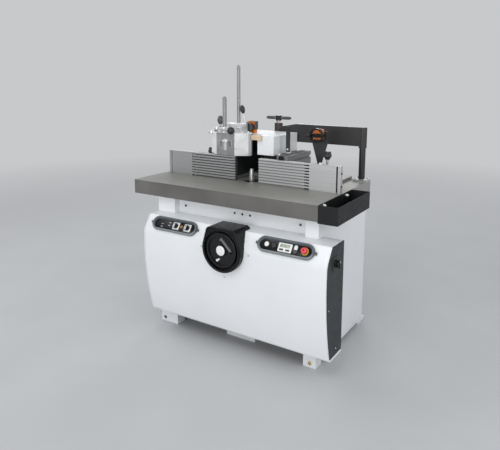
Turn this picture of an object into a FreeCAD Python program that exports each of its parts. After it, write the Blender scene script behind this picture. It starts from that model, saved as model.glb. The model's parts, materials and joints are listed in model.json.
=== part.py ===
import FreeCAD, Part
import math
import os
import Sketcher
from FreeCAD import Placement, Rotation, Vector

# Driving dimensions in millimetres. Places are measured from the middle of the table. A rise or height is
# counted up, and a drop down, from the face or axis that the piece sits on or hangs from.
SIZES = {
    # Table, insert ring and tray
    "table_length": 1200.0,
    "table_width": 720.0,
    "table_height": 870.0,
    "table_depth": 82.0,
    "table_plate": 26.0,
    "table_rim": 40.0,
    "table_rib": 30.0,
    "table_block_length": 300.0,
    "table_block_width": 270.0,
    "table_block_rib": 10.0,
    "ring_diameter": 240.0,
    "ring_opening": 110.0,
    "ring_thickness": 12.0,
    "ring_ledge": 25.0,
    "tray_width": 104.0,
    "tray_length": 425.0,
    "tray_height": 89.0,
    # Welded cabinet
    "cabinet_left": 450.0,
    "cabinet_right": 590.0,
    "cabinet_front": 320.0,
    "cabinet_rear": 325.0,
    "sheet": 3.0,
    "left_column": 126.0,
    "right_column": 73.0,
    "column_depth": 66.0,
    "skirt_gap": 20.0,
    "foot_width": 70.0,
    "foot_reach": 35.0,
    "middle_foot_x": 86.0,
    "middle_foot_width": 190.0,
    "foot_hole": 14.0,
    "louvre_length": 160.0,
    "louvre_height": 8.0,
    "louvre_step": 24.0,
    "louvre_drop": 368.0,
    "beam_setback": 40.0,
    "beam_height": 98.0,
    "beam_flange": 40.0,
    "beam_hole": 8.0,
    "beam_hole_step": 50.0,
    # Curved front cover with its end caps
    "cover_right": 700.0,
    "cover_top_front": 394.0,
    "cover_slope_out": 53.0,
    "cover_slope_drop": 78.0,
    "cover_bulge_radius": 1465.0,
    "cover_shoulder": 80.0,
    "cover_bottom": 109.0,
    "cover_bottom_front": 394.0,
    "cover_hem": 60.0,
    "cover_tuck": 10.0,
    "cover_skin": 4.0,
    "cap_thickness": 4.0,
    "cap_back": 264.0,
    "box_inset": 11.0,
    "box_front": 380.0,
    "box_stem_hole": 16.0,
    # Handwheel in its shroud
    "wheel_x": 117.0,
    "wheel_drop": 98.0,
    "wheel_diameter": 186.0,
    "wheel_thickness": 20.0,
    "wheel_web": 12.0,
    "wheel_rim": 13.0,
    "wheel_round": 5.0,
    "hub_diameter": 60.0,
    "shaft_diameter": 20.0,
    "hub_proud": 1.5,
    "shaft_diameter_in_cover": 26.0,
    "wheel_back": 463.0,
    "shroud_front": 486.0,
    "shroud_back": 350.0,
    "shroud_radius": 120.0,
    "shroud_rise": 116.0,
    "shroud_top_width": 180.0,
    "shroud_corner": 22.0,
    "shroud_round": 7.0,
    "dish_diameter": 215.0,
    "dish_depth": 26.0,
    "crank_offset": 42.0,
    "crank_length": 84.0,
    "crank_diameter": 16.0,
    "crank_slot_width": 20.0,
    "crank_slot_floor": 3.0,
    "crank_lift": 1.0,
    "crank_neck": 13.0,
    "crank_taper": 21.0,
    # Control panels on the sloping face
    "left_panel_x": -238.0,
    "right_panel_x": 464.0,
    "panel_length": 312.0,
    "panel_height": 80.0,
    "panel_thickness": 14.0,
    "panel_plate": 8.0,
    "panel_rim": 10.0,
    "button_diameter": 24.0,
    "button_height": 13.0,
    "button_travel": 4.0,
    "start_offset": -103.0,
    "jog_offset": -62.0,
    "dual_offset": 58.0,
    "stop_offset": 106.0,
    "dual_width": 20.0,
    "dual_height": 42.0,
    "stop_head": 32.0,
    "stop_stem": 20.0,
    "stop_height": 30.0,
    "selector_a_offset": 12.0,
    "selector_b_offset": 92.0,
    "selector_diameter": 28.0,
    "selector_height": 28.0,
    "stem_diameter": 10.0,
    "stem_foot": 1.5,
    "main_switch_y": -366.0,
    "main_switch_drop": 87.0,
    "main_switch_diameter": 38.0,
    "main_switch_height": 22.0,
    "main_switch_flange": 7.0,
    "main_switch_grip": 32.0,
    # Spindle, its carriage and the drive
    "spindle_x": 10.0,
    "spindle_y": -15.0,
    "arbor_diameter": 30.0,
    "arbor_tip_diameter": 24.0,
    "arbor_tip": 15.0,
    "arbor_length": 110.0,
    "spindle_reach": 70.0,
    "collar_diameter": 56.0,
    "collar_thickness": 14.7,
    "journal_diameter": 40.0,
    "quill_diameter": 90.0,
    "quill_length": 400.0,
    "carriage_drop": 348.0,
    "carriage_height": 200.0,
    "carriage_left": 140.0,
    "carriage_right": 140.0,
    "carriage_front": 60.0,
    "carriage_rear": 60.0,
    "rail_gap": 75.0,
    "rail_thickness": 30.0,
    "rail_width": 80.0,
    "rail_length": 488.0,
    "rail_flange": 12.0,
    "rail_flange_edge": 15.0,
    "screw_y": -200.0,
    "screw_diameter": 20.0,
    "screw_length": 239.0,
    "nut_arm_width": 50.0,
    "nut_arm_height": 45.0,
    "gearbox_width": 70.0,
    "gearbox_height": 65.0,
    "gearbox_wall": 25.0,
    "gearbox_bracket": 18.0,
    "motor_distance": 220.0,
    "motor_diameter": 170.0,
    "motor_height": 250.0,
    "motor_plate": 18.0,
    "motor_plate_edge": 10.0,
    "motor_shaft": 28.0,
    "motor_shaft_depth": 62.0,
    "motor_bell": 20.0,
    "pulley_gap": 5.0,
    "pulley_width": 45.0,
    "pulley_flange": 4.0,
    "pulley_flange_width": 3.0,
    "belt_width": 33.0,
    "spindle_pulley_diameter": 80.0,
    "motor_pulley_diameter": 120.0,
    "belt_thickness": 3.0,
    # Swing arm with its lifting screw
    "post_inset": 2.0,
    "post_diameter": 37.0,
    "post_flange": 80.0,
    "post_flange_thickness": 12.0,
    "post_bolt_step": 58.0,
    "post_bolt": 9.0,
    "sleeve_diameter": 46.0,
    "sleeve_reach": 10.0,
    "arm_rise": 205.0,
    "arm_height": 110.0,
    "arm_width": 44.0,
    "arm_wall": 4.0,
    "arm_knee_x": 137.0,
    "arm_tip_height": 85.0,
    "lift_x": 0.0,
    "lift_boss": 52.0,
    "lift_screw": 20.0,
    "lift_hub": 30.0,
    "lift_hub_height": 43.0,
    "lift_bar": 170.0,
    "lift_bar_diameter": 12.0,
    "lift_travel": 12.0,
    # Fence bed, guard, hood and casting
    "slide_gap": 0.5,
    "bed_left": 340.0,
    "bed_post_gap": 30.0,
    "bed_front": 28.0,
    "bed_behind_screw": 27.0,
    "bed_thickness": 17.5,
    "bed_notch": 120.0,
    "guard_left": 90.0,
    "guard_right": 150.0,
    "guard_bracket_gap": 5.0,
    "guard_height": 147.0,
    "hood_rise": 155.0,
    "hood_height": 110.0,
    "hood_front": 5.0,
    "hood_left": 42.0,
    "hood_wing": 140.0,
    "hood_wing_front": 64.0,
    "outlet_diameter": 100.0,
    "outlet_length": 45.0,
    "outlet_from_rear": 105.0,
    "casting_x": -132.5,
    "casting_face": 129.0,
    "casting_shoulder": 265.0,
    "casting_width": 287.0,
    "casting_front": 80.0,
    "casting_shoulder_y": -36.0,
    "casting_side_y": -22.0,
    "casting_rear": 60.0,
    "casting_height": 132.5,
    "casting_wall": 9.0,
    "casting_corner": 71.0,
    "casting_round": 6.0,
    "lug_diameter": 44.0,
    "lug_thickness": 10.0,
    "lug_overhang": 7.0,
    "lug_y": -11.0,
    "bracket_width": 70.0,
    "bracket_depth": 55.0,
    "bracket_bore": 45.0,
    # Pressure rods with their clamps
    "short_rod_x": -151.0,
    "short_rod_y": -60.0,
    "short_rod_diameter": 24.0,
    "short_rod_length": 269.0,
    "short_boss": 50.0,
    "short_boss_height": 32.0,
    "long_rod_x": -105.0,
    "long_rod_y": 20.0,
    "long_rod_diameter": 21.0,
    "long_rod_length": 450.0,
    "long_boss": 44.0,
    "long_boss_height": 50.0,
    "rod_depth": 60.0,
    "rod_dome": 7.0,
    "block_left": 85.0,
    "block_right": 40.0,
    "block_front": 35.0,
    "block_rear": 35.0,
    "block_height": 47.0,
    "clamp_hub": 20.0,
    "clamp_hub_length": 18.0,
    "clamp_hub_rise": 35.0,
    "clamp_lever_lean": 16.0,
    "clamp_lever_rise": 73.0,
    "clamp_lever_arm": 9.0,
    "clamp_lever_knob": 28.0,
    "clamp_lever_knob_neck": 10.0,
    "clamp_lever_knob_height": 50.0,
    "casting_knob_x": -239.0,
    "casting_knob_y": 20.0,
    "casting_knob_stem": 12.0,
    "casting_knob_rise": 36.0,
    "casting_knob": 38.0,
    "casting_knob_neck": 16.0,
    "casting_knob_height": 52.0,
    "lever_reach": 70.0,
    "lever_rise": 16.0,
    "lever_hub": 18.0,
    "lever_hub_length": 16.0,
    "lever_arm": 12.0,
    "lever_set_out": 10.5,
    "lever_ball_set_out": 3.0,
    "lever_ball": 44.0,
    # Telescopic fences
    "fence_face": 74.0,
    "fence_back": 46.0,
    "fence_web": 60.0,
    "fence_pitch": 16.0,
    "finger_height": 8.0,
    "fence_inner": 82.0,
    "fence_comb": 371.0,
    "fence_plain": 402.0,
    "fence_table_gap": 8.0,
    "fence_groove_edge": 25.0,
    "fence_groove_width": 9.5,
    "fence_groove_depth": 6.0,
    "fence_recess": 3.0,
    "left_slide_x": -240.0,
    "left_slide_width": 120.0,
    "left_slide_rear": 200.0,
    "left_slide_height": 112.0,
    "right_slide_x": 195.0,
    "right_slide_width": 67.0,
    "right_slide_rear": 250.0,
    "right_slide_height": 146.7,
    "slide_slot": 12.0,
    "slide_slot_depth": 9.0,
    # Fence adjusters and clamps
    "adjuster_from_end": 105.0,
    "adjuster_rise": 262.0,
    "adjuster_diameter": 82.0,
    "adjuster_width": 18.0,
    "adjuster_shaft": 12.0,
    "adjuster_rim": 8.0,
    "adjuster_web": 9.0,
    "adjuster_spoke": 22.0,
    "adjuster_hub": 24.0,
    "adjuster_grip": 12.0,
    "adjuster_grip_length": 34.0,
    "right_counter_front": 75.0,
    "stand_thickness": 10.0,
    "stand_head": 90.0,
    "stand_head_drop": 50.0,
    "stand_head_rise": 22.0,
    "stand_neck": 25.0,
    "stand_neck_height": 102.0,
    "counter_width": 50.0,
    "counter_depth": 32.0,
    "counter_height": 56.0,
    "counter_rise": 34.0,
    "left_counter_x": -78.0,
    "left_counter_front": 112.0,
    "left_counter_height": 70.0,
    "left_wheel_rise": 36.0,
    "left_wheel_diameter": 52.0,
    "left_wheel_width": 24.0,
    "left_wheel_chamfer": 3.0,
    "hold_down_x": 196.0,
    "hold_down_width": 22.0,
    "hold_down_y": 58.0,
    "hold_down_depth": 10.0,
    "hold_down_height": 160.0,
    "left_clamp_x": -300.0,
    "left_clamp_y": 10.0,
    "left_clamp_height": 144.0,
    "right_clamp_from_end": 29.0,
    "right_clamp_y": 50.0,
    "right_clamp_height": 172.0,
    "clamp_knob": 44.0,
    "clamp_knob_height": 36.0,
    "clamp_stem": 14.0,
    "clamp_neck": 22.0,
    "clamp_crown": 29.0,
    "clamp_chamfer": 6.0,
    # Clearances
    "running_fit": 0.05,
    "loose_fit": 0.3,
    "end_gap": 3.0,
}

# Number of bars in each telescopic fence and of slots in the rear louvre
FENCE_BARS = 9
LOUVRES = 10

doc = FreeCAD.newDocument("SpindleMoulder")
sheet = doc.addObject("Spreadsheet::Sheet", "Sizes")


class Size:
    """A length together with the sheet formula that gives it."""

    def __init__(self, value, formula):
        self.value = float(value)
        self.formula = formula

    def __add__(self, other):
        other = as_size(other)
        return Size(self.value + other.value, f"({self.formula} + {other.formula})")

    def __sub__(self, other):
        other = as_size(other)
        return Size(self.value - other.value, f"({self.formula} - {other.formula})")

    def __mul__(self, other):
        other = as_size(other)
        return Size(self.value * other.value, f"({self.formula} * {other.formula})")

    def __truediv__(self, other):
        other = as_size(other)
        return Size(self.value / other.value, f"({self.formula} / {other.formula})")

    def __radd__(self, other):
        return as_size(other) + self

    def __rsub__(self, other):
        return as_size(other) - self

    def __rmul__(self, other):
        return as_size(other) * self

    def __neg__(self):
        return Size(-self.value, f"(-1 * {self.formula})")


def as_size(number):
    if isinstance(number, Size):
        return number
    return Size(number, f"({float(number)!r})")


def root(size):
    return Size(math.sqrt(size.value), f"sqrt({size.formula})")


def root_of_squares(first, second):
    return root(first * first + second * second)


def slope_angle(rise, run):
    ratio = rise / run
    return Size(math.degrees(math.atan(ratio.value)), f"atan({ratio.formula})")


class Dimensions:
    """Every cell of the sheet by its alias."""


d = Dimensions()
for row, (alias, number) in enumerate(SIZES.items(), start=1):
    sheet.set(f"A{row}", alias)
    sheet.set(f"B{row}", repr(number))
    sheet.setAlias(f"B{row}", alias)
    setattr(d, alias, Size(number, f"Sizes.{alias}"))
doc.recompute()

# The origin lies on the floor under the middle of the whole machine, from the table's left end to the
# main switch and from the handwheel shroud to the table's rear edge.
X0 = (d.table_length / 2 - d.cover_right - d.main_switch_height) / 2
Y0 = (d.shroud_front - d.table_width / 2) / 2
ORIGIN = (X0, Y0, as_size(0))

# Levels and planes that several pieces share
FRAME_TOP = d.table_height - d.table_depth
BEAM_LOW = FRAME_TOP - d.beam_height
BEAM_FRONT = -d.cabinet_front + d.beam_setback
COVER_TOP = BEAM_LOW
BED_LOW = d.table_height + d.slide_gap
BED_TOP = BED_LOW + d.bed_thickness
GUARD_TOP = BED_LOW + d.guard_height
SLIDE_LOW = BED_TOP + d.loose_fit
FENCE_TOP = BED_LOW + d.fence_pitch * FENCE_BARS
LOUVRE_LOW = FRAME_TOP - d.louvre_drop
WHEEL_Z = COVER_TOP - d.wheel_drop
SHROUD_TOP = WHEEL_Z + d.shroud_rise
MAIN_SWITCH_Z = COVER_TOP - d.main_switch_drop
ARBOR_LOW = d.table_height + d.spindle_reach - d.arbor_tip - d.arbor_length
QUILL_TOP = ARBOR_LOW - d.collar_thickness - d.loose_fit
PULLEY_LOW = QUILL_TOP - d.quill_length - d.pulley_gap - d.pulley_width
CARRIAGE_LOW = FRAME_TOP - d.carriage_drop
RAIL_LOW = FRAME_TOP - d.rail_length
SCREW_LOW = WHEEL_Z - d.end_gap - d.screw_length
MOTOR_Y = d.spindle_y + d.motor_distance
POST_X = (d.table_length - d.post_flange) / 2
POST_Y = (d.table_width - d.post_flange) / 2 - d.post_inset
BED_RIGHT = POST_X - d.post_flange / 2 - d.bed_post_gap
BED_REAR = POST_Y + d.bed_behind_screw
BRACKET_FRONT = BED_REAR - d.bracket_depth
GUARD_REAR = BRACKET_FRONT - d.guard_bracket_gap
OUTLET_Y = GUARD_REAR - d.outlet_from_rear
ADJUSTER_X = BED_RIGHT - d.adjuster_from_end
RIGHT_CLAMP_X = BED_RIGHT - d.right_clamp_from_end
FENCE_OUTER = d.table_length / 2 - d.spindle_x - d.fence_table_gap
FENCE_GROOVE = FENCE_OUTER - d.fence_groove_edge
STAND_FRONT = d.right_counter_front + d.counter_depth
ARM_LOW = d.table_height + d.arm_rise
ARM_TOP = ARM_LOW + d.arm_height
ARM_TIP_TOP = ARM_LOW + d.arm_tip_height
SLEEVE_LOW = ARM_LOW - d.sleeve_reach
BRACKET_TOP = ARM_LOW - d.lift_travel - d.end_gap
HOOD_SEAT = d.table_height + d.hood_rise
HOOD_TOP = HOOD_SEAT + d.hood_height
CASTING_TOP = GUARD_TOP + d.casting_height
ROD_LOW = CASTING_TOP - d.rod_depth
RIGHT_SLIDE_TOP = SLIDE_LOW + d.right_slide_height
ADJUSTER_Z = BED_TOP + d.adjuster_rise
LEFT_WHEEL_Z = HOOD_TOP + d.left_wheel_rise
SLOPE_TURN = slope_angle(d.cover_slope_drop, d.cover_slope_out)
SLOPE_Y = -d.cover_top_front - d.cover_slope_out / 2
SLOPE_Z = COVER_TOP - d.cover_slope_drop / 2

# Orientation of turned pieces: their own Z axis points at the operator, to the rear or to the right
FACING_FRONT = Rotation(Vector(1, 0, 0), 90)
FACING_REAR = Rotation(Vector(1, 0, 0), -90)
FACING_RIGHT = Rotation(Vector(0, 1, 0), 90)
WHEEL_TURN = -45
DIAGONAL = math.sqrt(0.5)

# Points closer than this lie on the same face
TOUCHING = 0.01


def bind(obj, name, size):
    obj.setExpression(name, as_size(size).formula)


def place(obj, x, y, z):
    bind(obj, "Placement.Base.x", x)
    bind(obj, "Placement.Base.y", y)
    bind(obj, "Placement.Base.z", z)


def rect(x0, y0, x1, y1):
    return [(x0, y0), (x1, y0), (x1, y1), (x0, y1)]


class Circle:
    """A round loop of a sketch."""

    def __init__(self, x, y, diameter):
        self.x = as_size(x)
        self.y = as_size(y)
        self.radius = as_size(diameter) / 2


class Arc:
    """Put between two points of an outline, it bends that stretch; a left arc turns anticlockwise."""

    def __init__(self, radius, left=True):
        self.radius = as_size(radius)
        self.left = left


def arc_between(start, end, arc):
    """The short arc from start to end as a sketch curve."""
    chord = end - start
    normal = Vector(-chord.y, chord.x, 0).normalize()
    rise = math.sqrt(max(arc.radius.value ** 2 - (chord.Length / 2) ** 2, 0))
    centre = start + chord * 0.5 + normal * (rise if arc.left else -rise)
    first, last = (start, end) if arc.left else (end, start)
    angles = [math.atan2(p.y - centre.y, p.x - centre.x) for p in (first, last)]
    return Part.ArcOfCircle(Part.Circle(centre, Vector(0, 0, 1), arc.radius.value), *angles)


def add_circle(sketch, circle):
    centre = Vector(circle.x.value, circle.y.value, 0)
    curve = sketch.addGeometry(Part.Circle(centre, Vector(0, 0, 1), circle.radius.value), False)
    for kind, size in (("DistanceX", circle.x), ("DistanceY", circle.y)):
        number = sketch.addConstraint(Sketcher.Constraint(kind, -1, 1, curve, 3, size.value))
        bind(sketch, f"Constraints[{number}]", size)
    number = sketch.addConstraint(Sketcher.Constraint("Radius", curve, circle.radius.value))
    bind(sketch, f"Constraints[{number}]", circle.radius)


def add_outline(sketch, outline):
    """Draw a closed outline and hold each of its corners with two bound dimensions."""
    corners = []
    bends = {}
    for item in outline:
        if isinstance(item, Arc):
            bends[len(corners) - 1] = item
        else:
            corners.append((as_size(item[0]), as_size(item[1])))
    points = [Vector(x.value, y.value, 0) for x, y in corners]
    stretches = []
    for index, start in enumerate(points):
        end = points[(index + 1) % len(points)]
        bend = bends.get(index)
        curve = arc_between(start, end, bend) if bend else Part.LineSegment(start, end)
        turned = bend is not None and not bend.left
        stretches.append((sketch.addGeometry(curve, False), 2 if turned else 1, 1 if turned else 2))
    for index, (curve, first, last) in enumerate(stretches):
        following = stretches[(index + 1) % len(stretches)]
        sketch.addConstraint(Sketcher.Constraint("Coincident", curve, last, following[0], following[1]))
        for kind, size in zip(("DistanceX", "DistanceY"), corners[index]):
            number = sketch.addConstraint(Sketcher.Constraint(kind, -1, 1, curve, first, size.value))
            bind(sketch, f"Constraints[{number}]", size)
        if index in bends:
            radius = bends[index].radius
            number = sketch.addConstraint(Sketcher.Constraint("Radius", curve, radius.value))
            bind(sketch, f"Constraints[{number}]", radius)


class Piece:
    """A body built from sketches on its own planes: top is x-y, front is x-z and side is y-z."""

    PLANES = {"top": "XY_Plane", "front": "XZ_Plane", "side": "YZ_Plane"}

    def __init__(self, label, at=ORIGIN, turn=None):
        self.body = doc.addObject("PartDesign::Body", label)
        self.body.Label = label
        if turn is not None:
            self.body.Placement = Placement(Vector(), turn)
        place(self.body, *at)

    def sketch(self, plane, loops, start=0):
        sketch = self.body.newObject("Sketcher::SketchObject", f"{self.body.Label}_{plane}")
        role = self.PLANES[plane]
        support = [feature for feature in self.body.Origin.OriginFeatures if feature.Role == role][0]
        sketch.AttachmentSupport = [(support, "")]
        sketch.MapMode = "FlatFace"
        offset = -as_size(start) if plane == "front" else as_size(start)
        bind(sketch, "AttachmentOffset.Base.z", offset)
        for loop in loops:
            if isinstance(loop, Circle):
                add_circle(sketch, loop)
            else:
                add_outline(sketch, loop)
        return sketch

    def pad(self, plane, loops, start, length):
        """Add material from start along the plane's positive machine direction."""
        feature = self.body.newObject("PartDesign::Pad", f"{self.body.Label}_pad")
        feature.Profile = self.sketch(plane, loops, start)
        feature.Reversed = plane == "front"
        bind(feature, "Length", length)
        return self.finish(feature, grows=True)

    def pocket(self, plane, loops, start, length):
        """Remove material from start along the plane's positive machine direction."""
        feature = self.body.newObject("PartDesign::Pocket", f"{self.body.Label}_pocket")
        feature.Profile = self.sketch(plane, loops, start)
        feature.Reversed = plane != "front"
        bind(feature, "Length", length)
        return self.finish(feature, grows=False)

    def revolve(self, outline):
        """Turn an outline of radius and height about the body's own Z axis."""
        feature = self.body.newObject("PartDesign::Revolution", f"{self.body.Label}_turned")
        sketch = self.sketch("front", [outline])
        feature.Profile = sketch
        feature.ReferenceAxis = (sketch, ["V_Axis"])
        feature.Angle = 360
        return self.finish(feature, grows=True)

    def round(self, radius, chosen, fills=False):
        """Round off the edges that pass the test, or fill them where they are hollow."""
        base = self.body.Tip
        edges = [f"Edge{number}" for number, edge in enumerate(base.Shape.Edges, start=1) if chosen(edge)]
        feature = self.body.newObject("PartDesign::Fillet", f"{self.body.Label}_round")
        feature.Base = (base, edges)
        bind(feature, "Radius", radius)
        return self.finish(feature, grows=fills)

    def finish(self, feature, grows):
        before = self.body.Shape.Volume if not self.body.Shape.isNull() else 0
        self.body.Tip = feature
        doc.recompute()
        change = self.body.Shape.Volume - before
        if (change > 0) != grows or abs(change) < 1e-6:
            raise ValueError(f"{feature.Label} does not change {self.body.Label} as it should")
        return self


def cylinder(label, at, diameter, length, turn=None):
    rod = doc.addObject("Part::Cylinder", label)
    if turn is not None:
        rod.Placement = Placement(Vector(), turn)
    bind(rod, "Radius", as_size(diameter) / 2)
    bind(rod, "Height", length)
    place(rod, *at)
    return rod


def sphere(label, at, diameter):
    ball = doc.addObject("Part::Sphere", label)
    bind(ball, "Radius", as_size(diameter) / 2)
    place(ball, *at)
    return ball


def fuse(label, *shapes):
    joined = doc.addObject("Part::MultiFuse", label)
    joined.Shapes = list(shapes)
    joined.Refine = True
    return joined


def cut(label, base, tool):
    result = doc.addObject("Part::Cut", label)
    result.Base = base
    result.Tool = tool
    return result


def spot(x, y, z):
    """A place measured from the table's middle, given in the part's own frame."""
    return X0 + x, Y0 + y, as_size(z)


# Table, insert ring and tray


def table():
    piece = Piece("table")
    half_length = d.table_length / 2
    half_width = d.table_width / 2
    piece.pad("top", [rect(-half_length, -half_width, half_length, half_width)], FRAME_TOP, d.table_depth)
    inside_x = half_length - d.table_rim
    inside_y = half_width - d.table_rim
    rib_left = -d.cabinet_left - d.table_rib / 2
    block_left = d.spindle_x - d.table_block_length / 2
    block_right = d.spindle_x + d.table_block_length / 2
    block_front = d.spindle_y - d.table_block_width / 2
    block_rear = d.spindle_y + d.table_block_width / 2
    hollows = [
        rect(-inside_x, -inside_y, rib_left, inside_y),
        rect(rib_left + d.table_rib, -inside_y, block_left, inside_y),
        rect(block_left + d.table_block_rib, -inside_y, block_right - d.table_block_rib, block_front),
        rect(block_left + d.table_block_rib, block_rear, block_right - d.table_block_rib, inside_y),
        rect(block_right, -inside_y, inside_x, inside_y),
    ]
    piece.pocket("top", hollows, FRAME_TOP, d.table_depth - d.table_plate)
    seat = d.ring_diameter + 2 * d.loose_fit
    seat_low = d.table_height - d.ring_thickness
    piece.pocket("top", [Circle(d.spindle_x, d.spindle_y, seat)], seat_low, d.ring_thickness)
    opening = d.ring_diameter - 2 * d.ring_ledge
    piece.pocket("top", [Circle(d.spindle_x, d.spindle_y, opening)], FRAME_TOP, d.table_depth)
    return piece.body


def table_ring():
    piece = Piece("table_ring")
    loops = [Circle(d.spindle_x, d.spindle_y, size) for size in (d.ring_diameter, d.ring_opening)]
    piece.pad("top", loops, d.table_height - d.ring_thickness, d.ring_thickness)
    return piece.body


def tray():
    piece = Piece("tray")
    left = d.table_length / 2
    right = left + d.tray_width
    front = -d.table_width / 2
    rear = front + d.tray_length
    low = d.table_height - d.tray_height
    piece.pad("top", [rect(left, front, right, rear)], low, d.tray_height)
    inside = rect(left + d.sheet, front + d.sheet, right - d.sheet, rear - d.sheet)
    piece.pocket("top", [inside], low + d.sheet, d.tray_height - d.sheet)
    return piece.body


# Welded cabinet


def side_frame(label, outer, sheet_inside, column_inside, foot_inside):
    """Side sheet with a square front column that reaches the floor and a rear foot."""
    piece = Piece(label)
    front = -d.cabinet_front
    wall = d.sheet if sheet_inside.value > outer.value else -d.sheet
    sheet_height = FRAME_TOP - d.skirt_gap
    piece.pad("top", [rect(outer, front, sheet_inside, d.cabinet_rear)], d.skirt_gap, sheet_height)
    tube = [
        rect(outer, front, column_inside, front + d.column_depth),
        rect(outer + wall, front + d.sheet, column_inside - wall, front + d.column_depth - d.sheet),
    ]
    piece.pad("top", tube, 0, FRAME_TOP)
    foot = rect(outer, d.cabinet_rear - d.foot_width, foot_inside, d.cabinet_rear + d.foot_reach)
    hole = Circle((outer + foot_inside) / 2, d.cabinet_rear + d.foot_reach / 2, d.foot_hole)
    piece.pad("top", [foot, hole], 0, d.skirt_gap)
    return piece.body


def left_side_frame():
    outer = -d.cabinet_left
    return side_frame(
        "left_side_frame", outer, outer + d.sheet, outer + d.left_column, outer + d.foot_width
    )


def right_side_frame():
    outer = d.cabinet_right
    return side_frame(
        "right_side_frame", outer, outer - d.sheet, outer - d.right_column, outer - d.foot_width
    )


def rear_panel():
    """Rear wall folded into the floor, with a louvre and the middle foot."""
    piece = Piece("rear_panel")
    left = -d.cabinet_left + d.sheet
    right = d.cabinet_right - d.sheet
    front = -d.cabinet_front + d.column_depth
    rear = d.cabinet_rear
    outline = [
        (front, d.skirt_gap),
        (rear, d.skirt_gap),
        (rear, FRAME_TOP),
        (rear - d.sheet, FRAME_TOP),
        (rear - d.sheet, d.skirt_gap + d.sheet),
        (front, d.skirt_gap + d.sheet),
    ]
    piece.pad("side", [outline], left, right - left)
    half = d.louvre_length / 2
    slots = []
    for index in range(LOUVRES):
        low = LOUVRE_LOW + d.louvre_step * index
        slots.append(rect(d.spindle_x - half, low, d.spindle_x + half, low + d.louvre_height))
    piece.pocket("front", slots, rear - d.sheet, d.sheet)
    foot_left = d.middle_foot_x - d.middle_foot_width / 2
    foot = rect(foot_left, front, foot_left + d.middle_foot_width, front + d.foot_width)
    piece.pad("top", [foot], 0, d.skirt_gap)
    return piece.body


def front_beam():
    piece = Piece("front_beam")
    left = -d.cabinet_left + d.left_column
    right = d.cabinet_right - d.right_column
    rear = BEAM_FRONT + d.beam_flange
    outline = [
        (BEAM_FRONT, BEAM_LOW),
        (rear, BEAM_LOW),
        (rear, BEAM_LOW + d.sheet),
        (BEAM_FRONT + d.sheet, BEAM_LOW + d.sheet),
        (BEAM_FRONT + d.sheet, FRAME_TOP - d.sheet),
        (rear, FRAME_TOP - d.sheet),
        (rear, FRAME_TOP),
        (BEAM_FRONT, FRAME_TOP),
    ]
    piece.pad("side", [outline], left, right - left)
    middle = BEAM_LOW + d.beam_height / 2
    holes = [Circle(d.wheel_x + d.beam_hole_step * step, middle, d.beam_hole) for step in (-1, 0, 1)]
    piece.pocket("front", holes, BEAM_FRONT, d.sheet)
    return piece.body


# Curved front cover


def cover_front_points(inset):
    """Top corner, lower end of the sloping face and bottom corner, moved back by inset."""
    top = -d.cover_top_front + inset
    slope = -d.cover_top_front - d.cover_slope_out + inset
    bottom = -d.cover_bottom_front + inset
    return top, slope, bottom


def cover_block_outline(back):
    top, slope, bottom = cover_front_points(as_size(0))
    return [
        (back, COVER_TOP),
        (top, COVER_TOP),
        (slope, COVER_TOP - d.cover_slope_drop),
        Arc(d.cover_bulge_radius),
        (bottom, d.cover_bottom),
        (back, d.cover_bottom),
    ]


def round_shoulder(piece, inset, fills=False):
    """Rounds the crease below the sloping face, on the face that lies back by inset."""
    slope = cover_front_points(inset)[1].value
    low = (COVER_TOP - d.cover_slope_drop).value

    def is_crease(edge):
        box = edge.BoundBox
        across = max(box.YLength, box.ZLength)
        return across < TOUCHING and abs(box.YMin - slope) < TOUCHING and abs(box.ZMin - low) < TOUCHING

    piece.round(d.cover_shoulder - inset, is_crease, fills)


def cover_block(label, back, start, length):
    """Solid block behind the cover's outer face."""
    piece = Piece(label)
    piece.pad("side", [cover_block_outline(back)], start, length)
    round_shoulder(piece, as_size(0))
    return piece


def front_cover():
    piece = Piece("front_cover")
    left = -d.cabinet_left + d.cap_thickness
    right = d.cover_right - d.cap_thickness
    back = BEAM_FRONT + d.cover_tuck
    top, slope, bottom = cover_front_points(as_size(0))
    inner_top, inner_slope, inner_bottom = cover_front_points(d.cover_skin)
    slope_low = COVER_TOP - d.cover_slope_drop
    outline = [
        (back, COVER_TOP),
        (top, COVER_TOP),
        (slope, slope_low),
        Arc(d.cover_bulge_radius),
        (bottom, d.cover_bottom),
        (bottom + d.cover_hem, d.cover_bottom),
        (bottom + d.cover_hem, d.cover_bottom + d.sheet),
        (inner_bottom, d.cover_bottom + d.sheet),
        Arc(d.cover_bulge_radius, left=False),
        (inner_slope, slope_low),
        (inner_top, COVER_TOP - d.sheet),
        (back, COVER_TOP - d.sheet),
    ]
    piece.pad("side", [outline], left, right - left)
    round_shoulder(piece, as_size(0))
    round_shoulder(piece, d.cover_skin, fills=True)
    ledge_low = COVER_TOP - d.sheet
    left_column = -d.cabinet_left + d.left_column + d.loose_fit
    right_column = d.cabinet_right - d.right_column - d.loose_fit
    notches = [
        rect(left, -d.cabinet_front, left_column, back),
        rect(right_column, -d.cabinet_front, d.cabinet_right + d.loose_fit, back),
    ]
    piece.pocket("top", notches, ledge_low, d.sheet)
    hole = Circle(d.wheel_x, WHEEL_Z, d.shaft_diameter_in_cover)
    piece.pocket("front", [hole], -d.shroud_front, d.shroud_front - d.shroud_back)
    return piece.body


def left_end_cap():
    return cover_block("left_end_cap", -d.cabinet_front, -d.cabinet_left, d.cap_thickness).body


def right_end_cap():
    inner = d.cover_right - d.cap_thickness
    piece = cover_block("right_end_cap", -d.cap_back, inner, d.cap_thickness)
    hole = d.stem_diameter + 2 * d.running_fit
    piece.pocket("side", [Circle(d.main_switch_y, MAIN_SWITCH_Z, hole)], inner, d.cap_thickness)
    return piece.body


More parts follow.
